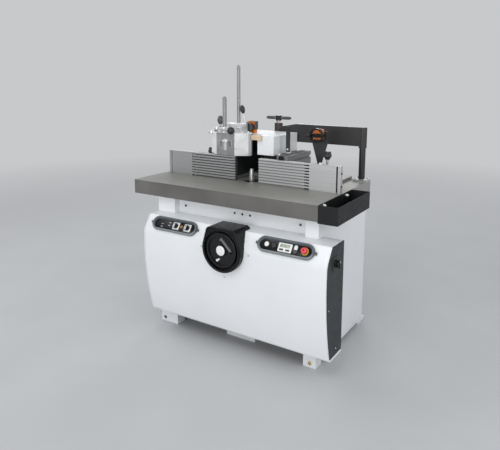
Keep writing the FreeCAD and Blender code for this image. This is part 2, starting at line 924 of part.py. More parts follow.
def electrical_box():
    """Channel behind the cover's right end that carries the end cap on the cabinet's side."""
    piece = Piece("electrical_box")
    left = d.cabinet_right
    right = d.cover_right - d.cap_thickness
    rear = -d.cap_back - d.sheet
    outline = [
        (left, -d.box_front),
        (left + d.sheet, -d.box_front),
        (left + d.sheet, rear - d.sheet),
        (right - d.sheet, rear - d.sheet),
        (right - d.sheet, -d.box_front),
        (right, -d.box_front),
        (right, rear),
        (left, rear),
    ]
    low = d.cover_bottom + d.box_inset
    piece.pad("top", [outline], low, COVER_TOP - d.box_inset - low)
    stem_hole = Circle(d.main_switch_y, MAIN_SWITCH_Z, d.box_stem_hole)
    piece.pocket("side", [stem_hole], right - d.sheet, d.sheet)
    return piece.body


# Handwheel in its shroud


def tangent_point(radius, x, z):
    """Where a straight edge from an outside point to the right and above touches a circle about zero."""
    square = x * x + z * z
    reach = root(square - radius * radius)
    touch_x = (radius * radius * x + radius * reach * z) / square
    touch_z = (radius * radius * z - radius * reach * x) / square
    return touch_x, touch_z


def handwheel_shroud():
    """Deep moulded bezel, narrower at its top, whose back follows the cover."""
    block = Piece("shroud_block")
    depth = d.shroud_front - d.shroud_back
    half_top = d.shroud_top_width / 2
    meet_x, meet_z = tangent_point(d.shroud_radius, half_top, d.shroud_rise)
    outline = [
        (d.wheel_x - meet_x, WHEEL_Z + meet_z),
        Arc(d.shroud_radius),
        (d.wheel_x, WHEEL_Z - d.shroud_radius),
        Arc(d.shroud_radius),
        (d.wheel_x + meet_x, WHEEL_Z + meet_z),
        (d.wheel_x + half_top, SHROUD_TOP),
        (d.wheel_x - half_top, SHROUD_TOP),
    ]
    block.pad("front", [outline], -d.shroud_front, depth)
    top = SHROUD_TOP.value - TOUCHING
    block.round(
        d.shroud_corner,
        lambda edge: edge.BoundBox.YLength > depth.value - TOUCHING and edge.BoundBox.ZMin > top,
    )
    block.round(d.shroud_round, lambda edge: edge.BoundBox.YMax < -d.shroud_front.value + TOUCHING)
    block.pocket("front", [Circle(d.wheel_x, WHEEL_Z, d.dish_diameter)], -d.shroud_front, d.dish_depth)
    hole = Circle(d.wheel_x, WHEEL_Z, d.shaft_diameter + 2 * d.running_fit)
    block.pocket("front", [hole], -d.shroud_front, depth)
    length = d.cover_right + d.cabinet_left
    behind = cover_block("cover_space", -d.shroud_back + d.end_gap, -d.cabinet_left, length)
    return cut("handwheel_shroud", block.body, behind.body)


WHEEL_AT = spot(d.wheel_x, -d.wheel_back, WHEEL_Z)


def handwheel():
    """Dished wheel with a chord slot for the folding crank, which lies up and to the right."""
    turn = FACING_FRONT.multiply(Rotation(Vector(0, 0, 1), WHEEL_TURN))
    piece = Piece("handwheel", WHEEL_AT, turn)
    bore = d.shaft_diameter / 2
    rim = d.wheel_diameter / 2
    hub = d.hub_diameter / 2
    hub_front = d.wheel_thickness + d.hub_proud
    outline = [
        (bore, 0),
        (rim, 0),
        (rim, d.wheel_thickness),
        (rim - d.wheel_rim, d.wheel_thickness),
        (rim - d.wheel_rim, d.wheel_web),
        (hub, d.wheel_web),
        (hub, hub_front),
        (bore, hub_front),
    ]
    piece.revolve(outline)
    piece.round(d.wheel_round, lambda edge: edge.BoundBox.XMax > rim.value - TOUCHING and edge.isClosed())
    half_length = d.crank_length / 2 + d.crank_diameter / 2
    half_width = d.crank_slot_width / 2
    slot = rect(-half_length, d.crank_offset - half_width, half_length, d.crank_offset + half_width)
    piece.pocket("top", [slot], d.crank_slot_floor, d.wheel_thickness)
    return piece.body


def handwheel_shaft():
    start = -d.wheel_back - d.wheel_thickness
    length = d.screw_y - d.screw_diameter / 2 - 2 * d.end_gap - start
    place_of_end = spot(d.wheel_x, start, WHEEL_Z)
    return cylinder("handwheel_shaft", place_of_end, d.shaft_diameter, length, FACING_REAR)


def crank_handle():
    """Grip that lies in the wheel's slot and turns out about a barrel across the slot."""
    along = -d.crank_length / 2
    height = d.crank_slot_floor + d.crank_diameter / 2 + d.crank_lift
    pivot = spot(
        d.wheel_x + DIAGONAL * (along + d.crank_offset),
        -d.wheel_back - height,
        WHEEL_Z + DIAGONAL * (d.crank_offset - along),
    )
    grip = Piece("crank_grip", pivot, Rotation(Vector(0, 0, 1), Vector(1, 0, -1)))
    thick = d.crank_diameter / 2
    neck = d.crank_neck / 2
    outline = [
        (0, 0),
        (neck, 0),
        (thick, d.crank_taper),
        (thick, d.crank_length - thick),
        (thick / 2, d.crank_length),
        (0, d.crank_length),
    ]
    grip.revolve(outline)
    barrel_length = d.crank_slot_width - 2 * d.loose_fit
    start = (
        pivot[0] - DIAGONAL * barrel_length / 2,
        pivot[1],
        pivot[2] - DIAGONAL * barrel_length / 2,
    )
    barrel = cylinder(
        "crank_barrel", start, d.crank_neck, barrel_length, Rotation(Vector(0, 0, 1), Vector(1, 0, 1))
    )
    return fuse("crank_handle", grip.body, barrel)


# Controls on the sloping face


def on_slope(label, x):
    """A body whose own Z axis stands square on the sloping face of the cover."""
    piece = Piece(label, spot(x, SLOPE_Y, SLOPE_Z), Rotation(Vector(1, 0, 0), SLOPE_TURN.value))
    bind(piece.body, "Placement.Rotation.Angle", SLOPE_TURN)
    return piece


def stadium(length, height):
    radius = as_size(height) / 2
    straight = as_size(length) / 2 - radius
    return [
        (-straight, -radius),
        (straight, -radius),
        Arc(radius),
        (straight + radius, 0),
        Arc(radius),
        (straight, radius),
        (-straight, radius),
        Arc(radius),
        (-straight - radius, 0),
        Arc(radius),
    ]


def control_panel(label, x, holes):
    piece = on_slope(label, x)
    piece.pad("top", [stadium(d.panel_length, d.panel_height)], 0, d.panel_thickness)
    inside = stadium(d.panel_length - 2 * d.panel_rim, d.panel_height - 2 * d.panel_rim)
    piece.pocket("top", [inside], d.panel_plate, d.panel_thickness - d.panel_plate)
    piece.pocket("top", holes, 0, d.panel_plate)
    return piece.body


def left_control_panel():
    hole = d.stem_diameter + 2 * d.running_fit
    holes = [Circle(offset, 0, hole) for offset in (d.selector_a_offset, d.selector_b_offset)]
    return control_panel("left_control_panel", d.left_panel_x, holes)


def right_control_panel():
    button_hole = d.button_diameter + 2 * d.loose_fit
    half_width = d.dual_width / 2 + d.loose_fit
    half_height = d.dual_height / 2 + d.loose_fit
    holes = [
        Circle(d.start_offset, 0, button_hole),
        Circle(d.jog_offset, 0, button_hole),
        Circle(d.stop_offset, 0, d.stop_stem + 2 * d.loose_fit),
        rect(d.dual_offset - half_width, -half_height, d.dual_offset + half_width, half_height),
    ]
    return control_panel("right_control_panel", d.right_panel_x, holes)


# A pressed button stops just above the cover
BUTTON_LOW = d.button_travel + d.loose_fit


def push_button(label, offset):
    piece = on_slope(label, d.right_panel_x + offset)
    radius = d.button_diameter / 2
    piece.revolve([(0, BUTTON_LOW), (radius, BUTTON_LOW), (radius, d.button_height), (0, d.button_height)])
    return piece.body


def dual_button():
    piece = on_slope("dual_button", d.right_panel_x + d.dual_offset)
    half_width = d.dual_width / 2
    half_height = d.dual_height / 2
    outline = rect(-half_width, -half_height, half_width, half_height)
    piece.pad("top", [outline], BUTTON_LOW, d.button_height - BUTTON_LOW)
    return piece.body


def emergency_stop():
    piece = on_slope("emergency_stop", d.right_panel_x + d.stop_offset)
    head = d.stop_head / 2
    stem = d.stop_stem / 2
    head_low = d.stop_height / 2
    outline = [
        (0, BUTTON_LOW),
        (stem, BUTTON_LOW),
        (stem, head_low),
        (head, head_low),
        (head, d.stop_height - head / 3),
        (head * 2 / 3, d.stop_height),
        (0, d.stop_height),
    ]
    piece.revolve(outline)
    return piece.body


def selector(label, offset):
    piece = on_slope(label, d.left_panel_x + offset)
    knob = d.selector_diameter / 2
    stem = d.stem_diameter / 2
    face = d.panel_plate + d.loose_fit
    outline = [
        (0, d.stem_foot),
        (stem, d.stem_foot),
        (stem, face),
        (knob, face),
        (knob, d.selector_height),
        (0, d.selector_height),
    ]
    piece.revolve(outline)
    return piece.body


def main_switch():
    piece = Piece("main_switch", spot(d.cover_right, d.main_switch_y, MAIN_SWITCH_Z), FACING_RIGHT)
    knob = d.main_switch_diameter / 2
    stem = d.stem_diameter / 2
    grip = d.main_switch_grip / 2
    outline = [
        (0, -d.cap_thickness),
        (stem, -d.cap_thickness),
        (stem, d.loose_fit),
        (knob, d.loose_fit),
        (knob, d.main_switch_flange),
        (grip, d.main_switch_flange),
        (grip, d.main_switch_height),
        (0, d.main_switch_height),
    ]
    piece.revolve(outline)
    return piece.body


# Height adjustment


def lift_gearbox():
    """Bracket inside the front beam with the angle-drive housing below it."""
    piece = Piece("lift_gearbox")
    beam_back = BEAM_FRONT + d.sheet
    flange_back = BEAM_FRONT + d.beam_flange + d.loose_fit
    low = WHEEL_Z - d.gearbox_height / 2
    high = WHEEL_Z + d.gearbox_height / 2
    rear = d.screw_y + d.screw_diameter / 2 + d.gearbox_wall
    foot = BEAM_LOW + d.sheet + d.end_gap
    head = FRAME_TOP - d.sheet - d.end_gap
    outline = [
        (beam_back, foot),
        (flange_back, foot),
        (flange_back, low),
        (rear, low),
        (rear, high),
        (flange_back + d.gearbox_wall, high),
        (flange_back + d.gearbox_wall, foot + d.gearbox_wall),
        (beam_back + d.gearbox_bracket, foot + d.gearbox_wall),
        (beam_back + d.gearbox_bracket, head),
        (beam_back, head),
    ]
    piece.pad("side", [outline], d.wheel_x - d.gearbox_width / 2, d.gearbox_width)
    shaft_end = d.screw_y - d.screw_diameter / 2 - d.end_gap
    bore = Circle(d.wheel_x, WHEEL_Z, d.shaft_diameter + 2 * d.running_fit)
    piece.pocket("front", [bore], flange_back, shaft_end - flange_back)
    screw_bore = Circle(d.wheel_x, d.screw_y, d.screw_diameter + 2 * d.running_fit)
    piece.pocket("top", [screw_bore], low, d.gearbox_height / 2)
    return piece.body


def lift_screw():
    return cylinder("lift_screw", spot(d.wheel_x, d.screw_y, SCREW_LOW), d.screw_diameter, d.screw_length)


RAIL_RIGHT = d.spindle_x - d.rail_gap - d.loose_fit
RAIL_LEFT = RAIL_RIGHT - d.rail_thickness


def carriage_guide():
    """Vertical rail hung from the table beside the spindle."""
    piece = Piece("carriage_guide")
    front = d.spindle_y - d.rail_width / 2
    rear = d.spindle_y + d.rail_width / 2
    piece.pad("top", [rect(RAIL_LEFT, front, RAIL_RIGHT, rear)], RAIL_LOW, FRAME_TOP - RAIL_LOW)
    edge = d.rail_flange_edge
    flange = rect(RAIL_LEFT - edge, front - edge, RAIL_RIGHT + edge, rear + edge)
    piece.pad("top", [flange], FRAME_TOP - d.rail_flange, d.rail_flange)
    return piece.body


def spindle_carriage():
    """Casting that rides on the rail and carries quill, lift nut and motor."""
    piece = Piece("spindle_carriage")
    left = d.spindle_x - d.carriage_left
    right = d.spindle_x + d.carriage_right
    front = d.spindle_y - d.carriage_front
    rear = d.spindle_y + d.carriage_rear
    piece.pad("top", [rect(left, front, right, rear)], CARRIAGE_LOW, d.carriage_height)
    arm_front = d.screw_y - d.nut_arm_width / 2
    half_arm = d.nut_arm_width / 2
    arm = rect(d.wheel_x - half_arm, arm_front, d.wheel_x + half_arm, front)
    piece.pad("top", [arm], CARRIAGE_LOW, d.nut_arm_height)
    half_plate = d.motor_diameter / 2 + d.motor_plate_edge
    plate = rect(d.spindle_x - half_plate, rear, d.spindle_x + half_plate, MOTOR_Y + half_plate)
    piece.pad("top", [plate], CARRIAGE_LOW, d.motor_plate)
    gap = d.loose_fit
    half_rail = d.rail_width / 2 + gap
    channel = rect(RAIL_LEFT - gap, d.spindle_y - half_rail, RAIL_RIGHT + gap, d.spindle_y + half_rail)
    bores = [channel, Circle(d.spindle_x, d.spindle_y, d.quill_diameter)]
    piece.pocket("top", bores, CARRIAGE_LOW, d.carriage_height)
    holes = [
        Circle(d.wheel_x, d.screw_y, d.screw_diameter + 2 * d.loose_fit),
        Circle(d.spindle_x, MOTOR_Y, d.motor_shaft + 2 * d.loose_fit),
    ]
    piece.pocket("top", holes, CARRIAGE_LOW, d.nut_arm_height)
    return piece.body


def spindle_quill():
    piece = Piece("spindle_quill")
    bore = d.journal_diameter + 2 * d.running_fit
    loops = [Circle(d.spindle_x, d.spindle_y, d.quill_diameter), Circle(d.spindle_x, d.spindle_y, bore)]
    piece.pad("top", loops, QUILL_TOP - d.quill_length, d.quill_length)
    return piece.body


def spindle_shaft():
    piece = Piece("spindle_shaft", spot(d.spindle_x, d.spindle_y, 0))
    journal = d.journal_diameter / 2
    collar = d.collar_diameter / 2
    arbor = d.arbor_diameter / 2
    tip = d.arbor_tip_diameter / 2
    collar_low = QUILL_TOP + d.loose_fit
    shoulder = collar_low + d.collar_thickness
    outline = [
        (0, PULLEY_LOW - d.end_gap),
        (journal, PULLEY_LOW - d.end_gap),
        (journal, collar_low),
        (collar, collar_low),
        (collar, shoulder),
        (arbor, shoulder),
        (arbor, shoulder + d.arbor_length),
        (tip, shoulder + d.arbor_length),
        (tip, shoulder + d.arbor_length + d.arbor_tip),
        (0, shoulder + d.arbor_length + d.arbor_tip),
    ]
    piece.revolve(outline)
    return piece.body


def pulley_outline(bore, diameter):
    """Flat pulley with a low flange at each end."""
    face = as_size(diameter) / 2
    flange = face + d.pulley_flange
    low = PULLEY_LOW
    high = low + d.pulley_width
    return [
        (bore, low),
        (flange, low),
        (flange, low + d.pulley_flange_width),
        (face, low + d.pulley_flange_width),
        (face, high - d.pulley_flange_width),
        (flange, high - d.pulley_flange_width),
        (flange, high),
        (bore, high),
    ]


def spindle_pulley():
    piece = Piece("spindle_pulley", spot(d.spindle_x, d.spindle_y, 0))
    piece.revolve(pulley_outline(d.journal_diameter / 2, d.spindle_pulley_diameter))
    return piece.body


MOTOR_LOW = CARRIAGE_LOW + d.motor_plate


def motor():
    piece = Piece("motor", spot(d.spindle_x, MOTOR_Y, 0))
    case = d.motor_diameter / 2
    bore = d.motor_shaft / 2 + d.running_fit
    top = MOTOR_LOW + d.motor_height
    bore_top = MOTOR_LOW + d.motor_shaft_depth + d.end_gap
    outline = [
        (bore, MOTOR_LOW),
        (case, MOTOR_LOW),
        (case, top - d.motor_bell),
        (case - d.motor_bell, top),
        (0, top),
        (0, bore_top),
        (bore, bore_top),
    ]
    piece.revolve(outline)
    return piece.body


def motor_pulley():
    """Pulley on the motor's shaft."""
    piece = Piece("motor_pulley", spot(d.spindle_x, MOTOR_Y, 0))
    shaft = d.motor_shaft / 2
    shaft_top = MOTOR_LOW + d.motor_shaft_depth
    outline = pulley_outline(0, d.motor_pulley_diameter)
    outline[-1:] = [(shaft, PULLEY_LOW + d.pulley_width), (shaft, shaft_top), (0, shaft_top)]
    piece.revolve(outline)
    return piece.body


def belt_loop(spindle_radius, motor_radius):
    """Closed path round both pulleys, seen from above with the spindle at the origin."""
    distance = d.motor_distance
    lean = (motor_radius - spindle_radius) / distance
    square = root(1 - lean * lean)
    spindle_side = spindle_radius * square
    spindle_touch = -spindle_radius * lean
    motor_side = motor_radius * square
    motor_touch = distance - motor_radius * lean
    return [
        (-spindle_side, spindle_touch),
        Arc(spindle_radius),
        (0, -spindle_radius),
        Arc(spindle_radius),
        (spindle_side, spindle_touch),
        (motor_side, motor_touch),
        Arc(motor_radius),
        (0, distance + motor_radius),
        Arc(motor_radius),
        (-motor_side, motor_touch),
    ]


def drive_belt():
    piece = Piece("drive_belt", spot(d.spindle_x, d.spindle_y, 0))
    spindle_radius = d.spindle_pulley_diameter / 2 + d.loose_fit
    motor_radius = d.motor_pulley_diameter / 2 + d.loose_fit
    inner = belt_loop(spindle_radius, motor_radius)
    outer = belt_loop(spindle_radius + d.belt_thickness, motor_radius + d.belt_thickness)
    edge = (d.pulley_width - d.belt_width) / 2
    piece.pad("top", [outer, inner], PULLEY_LOW + edge, d.belt_width)
    return piece.body


# Swing arm


def arm_post():
    piece = Piece("arm_post")
    half = d.post_flange / 2
    flange = rect(POST_X - half, POST_Y - half, POST_X + half, POST_Y + half)
    step = d.post_bolt_step / 2
    holes = []
    for side in (-1, 1):
        for end in (-1, 1):
            holes.append(Circle(POST_X + step * side, POST_Y + step * end, d.post_bolt))
    piece.pad("top", [flange] + holes, d.table_height, d.post_flange_thickness)
    foot = d.table_height + d.post_flange_thickness
    post = Circle(POST_X, POST_Y, d.post_diameter)
    piece.pad("top", [post], foot, ARM_TOP - d.arm_wall - d.loose_fit - foot)
    return piece.body


def arm():
    """Folded channel, open below, with the sleeve on the post and the boss of the lifting screw."""
    piece = Piece("arm")
    front = POST_Y - d.arm_width / 2
    outline = [
        (d.lift_x, ARM_LOW),
        (POST_X, ARM_LOW),
        (POST_X, ARM_TOP),
        (d.arm_knee_x, ARM_TOP),
        (d.lift_x, ARM_TIP_TOP),
    ]
    piece.pad("front", [outline], front, d.arm_width)
    inside = rect(
        d.lift_x + d.lift_boss / 2,
        front + d.arm_wall,
        POST_X - d.sleeve_diameter / 2,
        front + d.arm_width - d.arm_wall,
    )
    piece.pocket("top", [inside], ARM_LOW, ARM_TIP_TOP - d.arm_wall - ARM_LOW)
    boss = Circle(d.lift_x, POST_Y, d.lift_boss)
    piece.pad("top", [boss], ARM_LOW, ARM_TOP - ARM_LOW)
    sleeve = Circle(POST_X, POST_Y, d.sleeve_diameter)
    piece.pad("top", [sleeve], SLEEVE_LOW, ARM_TOP - SLEEVE_LOW)
    post_bore = Circle(POST_X, POST_Y, d.post_diameter + 2 * d.running_fit)
    piece.pocket("top", [post_bore], SLEEVE_LOW, ARM_TOP - d.arm_wall - SLEEVE_LOW)
    screw_bore = Circle(d.lift_x, POST_Y, d.lift_screw + 2 * d.running_fit)
    piece.pocket("top", [screw_bore], ARM_LOW, ARM_TOP - ARM_LOW)
    return piece.body


LIFT_BORE_FLOOR = BRACKET_TOP - d.bracket_bore


def lift_handle():
    """Lifting screw with its T-handle."""
    hub_low = ARM_TOP + d.loose_fit
    screw_low = LIFT_BORE_FLOOR + d.lift_travel + d.end_gap
    bar_height = hub_low + d.lift_hub_height - d.lift_bar_diameter
    screw = cylinder("lift_thread", spot(d.lift_x, POST_Y, screw_low), d.lift_screw, hub_low - screw_low)
    hub = cylinder("lift_hub", spot(d.lift_x, POST_Y, hub_low), d.lift_hub, d.lift_hub_height)
    bar_at = spot(d.lift_x - d.lift_bar / 2, POST_Y, bar_height)
    bar = cylinder("lift_bar", bar_at, d.lift_bar_diameter, d.lift_bar, FACING_RIGHT)
    return fuse("lift_handle", screw, hub, bar)


# Fence bed with guard, hood and casting


def fence_bed():
    piece = Piece("fence_bed")
    left = -d.guard_left + d.sheet
    right = d.guard_right - d.sheet
    outline = [
        (-d.bed_left, -d.bed_front),
        (left, -d.bed_front),
        (left, d.bed_notch),
        (right, d.bed_notch),
        (right, -d.bed_front),
        (BED_RIGHT, -d.bed_front),
        (BED_RIGHT, BED_REAR),
        (-d.bed_left, BED_REAR),
    ]
    piece.pad("top", [outline], BED_LOW, d.bed_thickness)
    return piece.body


def guard_box():
    """Sheet walls round the cutter space, higher under the hood."""
    piece = Piece("guard_box")
    left = -d.guard_left
    right = d.guard_right
    front = -d.bed_front
    rear = GUARD_REAR
    walls = [
        (left, front),
        (left + d.sheet, front),
        (left + d.sheet, rear - d.sheet),
        (right - d.sheet, rear - d.sheet),
        (right - d.sheet, front),
        (right, front),
        (right, rear),
        (left, rear),
    ]
    piece.pad("top", [walls], BED_TOP, GUARD_TOP - BED_TOP)
    seat = [
        (right - d.sheet, -d.hood_front),
        (right, -d.hood_front),
        (right, rear),
        (d.hood_left, rear),
        (d.hood_left, rear - d.sheet),
        (right - d.sheet, rear - d.sheet),
    ]
    piece.pad("top", [seat], GUARD_TOP, HOOD_SEAT - GUARD_TOP)
    return piece.body


def hood_outline(inset):
    return [
        (d.hood_left + inset, -d.hood_front + inset),
        (d.guard_right - inset, -d.hood_front + inset),
        (d.guard_right - inset, GUARD_REAR - inset),
        (-d.hood_wing + inset, GUARD_REAR - inset),
        (-d.hood_wing + inset, d.hood_wing_front + inset),
        (d.hood_left + inset, d.hood_wing_front + inset),
    ]


OUTLET_Z = (HOOD_SEAT + HOOD_TOP) / 2


def dust_hood():
    """Sheet hood, open below, with a round outlet on its left wall."""
    piece = Piece("dust_hood")
    height = HOOD_TOP - HOOD_SEAT
    piece.pad("top", [hood_outline(as_size(0))], HOOD_SEAT, height)
    piece.pocket("top", [hood_outline(d.sheet)], HOOD_SEAT, height - d.sheet)
    outlet = Circle(OUTLET_Y, OUTLET_Z, d.outlet_diameter)
    inside = Circle(OUTLET_Y, OUTLET_Z, d.outlet_diameter - 2 * d.sheet)
    start = -d.hood_wing - d.outlet_length
    piece.pad("side", [outlet, inside], start, d.outlet_length)
    piece.pocket("side", [inside], -d.hood_wing, d.sheet)
    return piece.body


def casting_outline(wall):
    half_face = d.casting_face / 2 - wall / 3
    half_shoulder = d.casting_shoulder / 2 - wall
    half_width = d.casting_width / 2 - wall
    middle = d.casting_x
    front = -d.casting_front + wall
    shoulder = d.casting_shoulder_y + wall * 2 / 3
    side = d.casting_side_y + wall / 2
    rear = d.casting_rear - wall
    corner = d.casting_corner - 2 * (1 - DIAGONAL) * wall
    return [
        (middle - half_width, side),
        (middle - half_shoulder, shoulder),
        (middle - half_face, front),
        (middle + half_face, front),
        (middle + half_shoulder, shoulder),
        (middle + half_width, side),
        (middle + half_width, rear - corner),
        (middle + half_width - corner, rear),
        (middle - half_width, rear),
    ]


def hood_casting():
    """Hollow casting over the left fence with the short rod's boss and the long rod's clamp block."""
    piece = Piece("hood_casting")
    height = d.casting_height
    piece.pad("top", [casting_outline(as_size(0))], GUARD_TOP, height)
    piece.round(d.casting_round, lambda edge: edge.BoundBox.ZLength > height.value - TOUCHING)
    piece.pocket("top", [casting_outline(d.casting_wall)], GUARD_TOP, height - d.casting_wall)
    block = rect(
        d.long_rod_x - d.block_left,
        d.long_rod_y - d.block_front,
        d.long_rod_x + d.block_right,
        d.long_rod_y + d.block_rear,
    )
    piece.pad("top", [block], CASTING_TOP, d.block_height)
    piece.pad("top", [Circle(d.short_rod_x, d.short_rod_y, d.short_boss)], CASTING_TOP, d.short_boss_height)
    piece.pad("top", [Circle(d.long_rod_x, d.long_rod_y, d.long_boss)], CASTING_TOP, d.long_boss_height)
    lug_x = d.casting_x - d.casting_width / 2 - d.lug_overhang + d.lug_diameter / 2
    lug = Circle(lug_x, d.lug_y, d.lug_diameter)
    piece.pad("top", [lug], CASTING_TOP - d.casting_wall, d.casting_wall + d.lug_thickness)
    start = CASTING_TOP - d.casting_wall
    short_bore = Circle(d.short_rod_x, d.short_rod_y, d.short_rod_diameter + 2 * d.running_fit)
    piece.pocket("top", [short_bore], GUARD_TOP, height + d.short_boss_height)
    long_bore = Circle(d.long_rod_x, d.long_rod_y, d.long_rod_diameter + 2 * d.running_fit)
    piece.pocket("top", [long_bore], start, d.casting_wall + d.long_boss_height)
    return piece.body


def lift_bracket():
    """Block behind the hood by which the lifting screw picks up the fence."""
    piece = Piece("lift_bracket")
    half = d.bracket_width / 2
    outline = rect(d.lift_x - half, BRACKET_FRONT, d.lift_x + half, BED_REAR)
    piece.pad("top", [outline], BED_TOP, BRACKET_TOP - BED_TOP)
    bore = Circle(d.lift_x, POST_Y, d.lift_screw + 2 * d.loose_fit)
    piece.pocket("top", [bore], LIFT_BORE_FLOOR, d.bracket_bore)
    return piece.body


# Pressure rods


def pressure_rod(label, x, y, diameter, length):
    piece = Piece(label, spot(x, y, ROD_LOW))
    radius = diameter / 2
    outline = [
        (0, 0),
        (radius, 0),
        (radius, length - d.rod_dome),
        (radius - d.rod_dome, length),
        (0, length),
    ]
    piece.revolve(outline)
    return piece.body


def oval_knob(low, diameter, neck, height):
    """Outline of a turned grip that swells from a narrow neck and closes to the same width."""
    middle = low + height / 2
    swell = (diameter - neck) / 2
    bend = Arc((swell * swell + height * height / 4) / (2 * swell))
    return [(neck / 2, low), bend, (diameter / 2, middle), bend, (neck / 2, low + height), (0, low + height)]


def clamp_lever():
    """Lever with an oval grip on the clamp screw at the right end of the long rod's block."""
    height = CASTING_TOP + d.clamp_hub_rise
    start = d.long_rod_x + d.block_right + d.loose_fit
    hub = cylinder(
        "clamp_hub", spot(start, d.long_rod_y, height), d.clamp_hub, d.clamp_hub_length, FACING_RIGHT
    )
    root_x = start + d.clamp_hub_length / 2
    lean = Rotation(Vector(0, 0, 1), Vector(-d.clamp_lever_lean.value, 0, d.clamp_lever_rise.value))
    reach = root_of_squares(d.clamp_lever_lean, d.clamp_lever_rise)
    grip = Piece("clamp_grip", spot(root_x, d.long_rod_y, height), lean)
    stem = d.clamp_lever_arm / 2
    knob = oval_knob(reach, d.clamp_lever_knob, d.clamp_lever_knob_neck, d.clamp_lever_knob_height)
    grip.revolve([(0, 0), (stem, 0), (stem, reach)] + knob)
    return fuse("clamp_lever", hub, grip.body)


def casting_knob():
    """Knob on an upright clamp screw at the casting's left rear corner."""
    piece = Piece("casting_knob", spot(d.casting_knob_x, d.casting_knob_y, CASTING_TOP))
    stem = d.casting_knob_stem / 2
    knob = oval_knob(d.casting_knob_rise, d.casting_knob, d.casting_knob_neck, d.casting_knob_height)
    piece.revolve([(0, d.loose_fit), (stem, d.loose_fit), (stem, d.casting_knob_rise)] + knob)
    return piece.body


def rod_lever():
    """Ball lever of the short rod's clamp, lying to the right in front of its boss."""
    height = CASTING_TOP + d.lever_rise
    boss_front = d.short_rod_y - d.short_boss / 2 - d.loose_fit
    hub_at = spot(d.short_rod_x, boss_front, height)
    hub = cylinder("lever_hub", hub_at, d.lever_hub, d.lever_hub_length, FACING_FRONT)
    middle = boss_front - d.lever_set_out
    arm_at = spot(d.short_rod_x, middle, height)
    shank = cylinder("lever_shank", arm_at, d.lever_arm, d.lever_reach, FACING_RIGHT)
    ball_y = middle - d.lever_ball_set_out
    ball = sphere("lever_ball", spot(d.short_rod_x + d.lever_reach, ball_y, height), d.lever_ball)
    return fuse("rod_lever", hub, shank, ball)


# Telescopic fences


def bar_heights(index):
    """Lower and upper edge of one slot between the fingers."""
    low = BED_LOW + d.fence_pitch * index
    return low, low + d.fence_pitch - d.finger_height


def across(side, near, far):
    """A stretch to the left or right of the spindle, as ascending x values."""
    if side < 0:
        return d.spindle_x - far, d.spindle_x - near
    return d.spindle_x + near, d.spindle_x + far


def fence_bars(label, side):
    """Back plate with the bars that fill the slots of the sliding plate, a little behind its face."""
    piece = Piece(label)
    left, right = across(side, d.fence_inner, d.fence_comb)
    piece.pad("front", [rect(left, BED_LOW, right, FENCE_TOP)], -d.fence_web, d.fence_web - d.fence_back)
    bars = []
    for index in range(FENCE_BARS):
        low, high = bar_heights(index)
        bars.append(rect(left, low + d.loose_fit, right, high - d.loose_fit))
    face = -d.fence_face + d.fence_recess
    piece.pad("front", bars, face, d.fence_face - d.fence_recess - d.fence_web)
    return piece.body


def fence_plate(label, side):
    """Plain outer plate whose fingers run between the bars."""
    piece = Piece(label)
    left, right = across(side, d.fence_plain, FENCE_OUTER)
    piece.pad("front", [rect(left, BED_LOW, right, FENCE_TOP)], -d.fence_face, d.fence_face - d.fence_back)
    finger_left, finger_right = across(side, d.fence_inner, d.fence_plain)
    fingers = []
    for index in range(FENCE_BARS):
        low = bar_heights(index)[1]
        fingers.append(rect(finger_left, low, finger_right, low + d.finger_height))
    depth = d.fence_face - d.fence_web - d.loose_fit
    piece.pad("front", fingers, -d.fence_face, depth)
    groove_left, groove_right = across(side, FENCE_GROOVE, FENCE_GROOVE + d.fence_groove_width)
    groove = rect(groove_left, BED_LOW, groove_right, FENCE_TOP)
    piece.pocket("front", [groove], -d.fence_face, d.fence_groove_depth)
    return piece.body


def left_slide():
    piece = Piece("left_slide")
    left = d.left_slide_x
    outline = rect(left, -d.fence_back, left + d.left_slide_width, d.left_slide_rear)
    piece.pad("top", [outline], SLIDE_LOW, d.left_slide_height)
    return piece.body


def right_slide():
    """Extruded block with a slot along its top and one along its right side."""
    piece = Piece("right_slide")
    left = d.right_slide_x
    right = left + d.right_slide_width
    top = RIGHT_SLIDE_TOP
    middle = (left + right) / 2
    half = d.slide_slot / 2
    slot_low = top - 3 * d.slide_slot
    outline = [
        (left, SLIDE_LOW),
        (right, SLIDE_LOW),
        (right, slot_low),
        (right - d.slide_slot_depth, slot_low),
        (right - d.slide_slot_depth, slot_low + d.slide_slot),
        (right, slot_low + d.slide_slot),
        (right, top),
        (middle + half, top),
        (middle + half, top - d.slide_slot_depth),
        (middle - half, top - d.slide_slot_depth),
        (middle - half, top),
        (left, top),
    ]
    piece.pad("front", [outline], -d.fence_back, d.fence_back + d.right_slide_rear)
    return piece.body


def hold_down_post():
    piece = Piece("hold_down_post")
    left = d.hold_down_x
    rear = d.hold_down_y + d.hold_down_depth
    outline = rect(left, d.hold_down_y, left + d.hold_down_width, rear)
    piece.pad("top", [outline], RIGHT_SLIDE_TOP, d.hold_down_height)
    return piece.body


# Fence adjusters and clamps


def adjuster_stand():
    """Upright plate, narrow at its foot, that carries the right counter and adjuster."""
    piece = Piece("adjuster_stand")
    middle = ADJUSTER_X
    neck = d.stand_neck / 2
    head = d.stand_head / 2
    neck_top = BED_TOP + d.stand_neck_height
    head_low = ADJUSTER_Z - d.stand_head_drop
    head_top = ADJUSTER_Z + d.stand_head_rise
    outline = [
        (middle - neck, BED_TOP),
        (middle + neck, BED_TOP),
        (middle + neck, neck_top),
        (middle + head, head_low),
        (middle + head, head_top),
        (middle - head, head_top),
        (middle - head, head_low),
        (middle - neck, neck_top),
    ]
    piece.pad("front", [outline], STAND_FRONT, d.stand_thickness)
    bore = Circle(middle, ADJUSTER_Z, d.adjuster_shaft + 2 * d.running_fit)
    piece.pocket("front", [bore], STAND_FRONT, d.stand_thickness)
    return piece.body


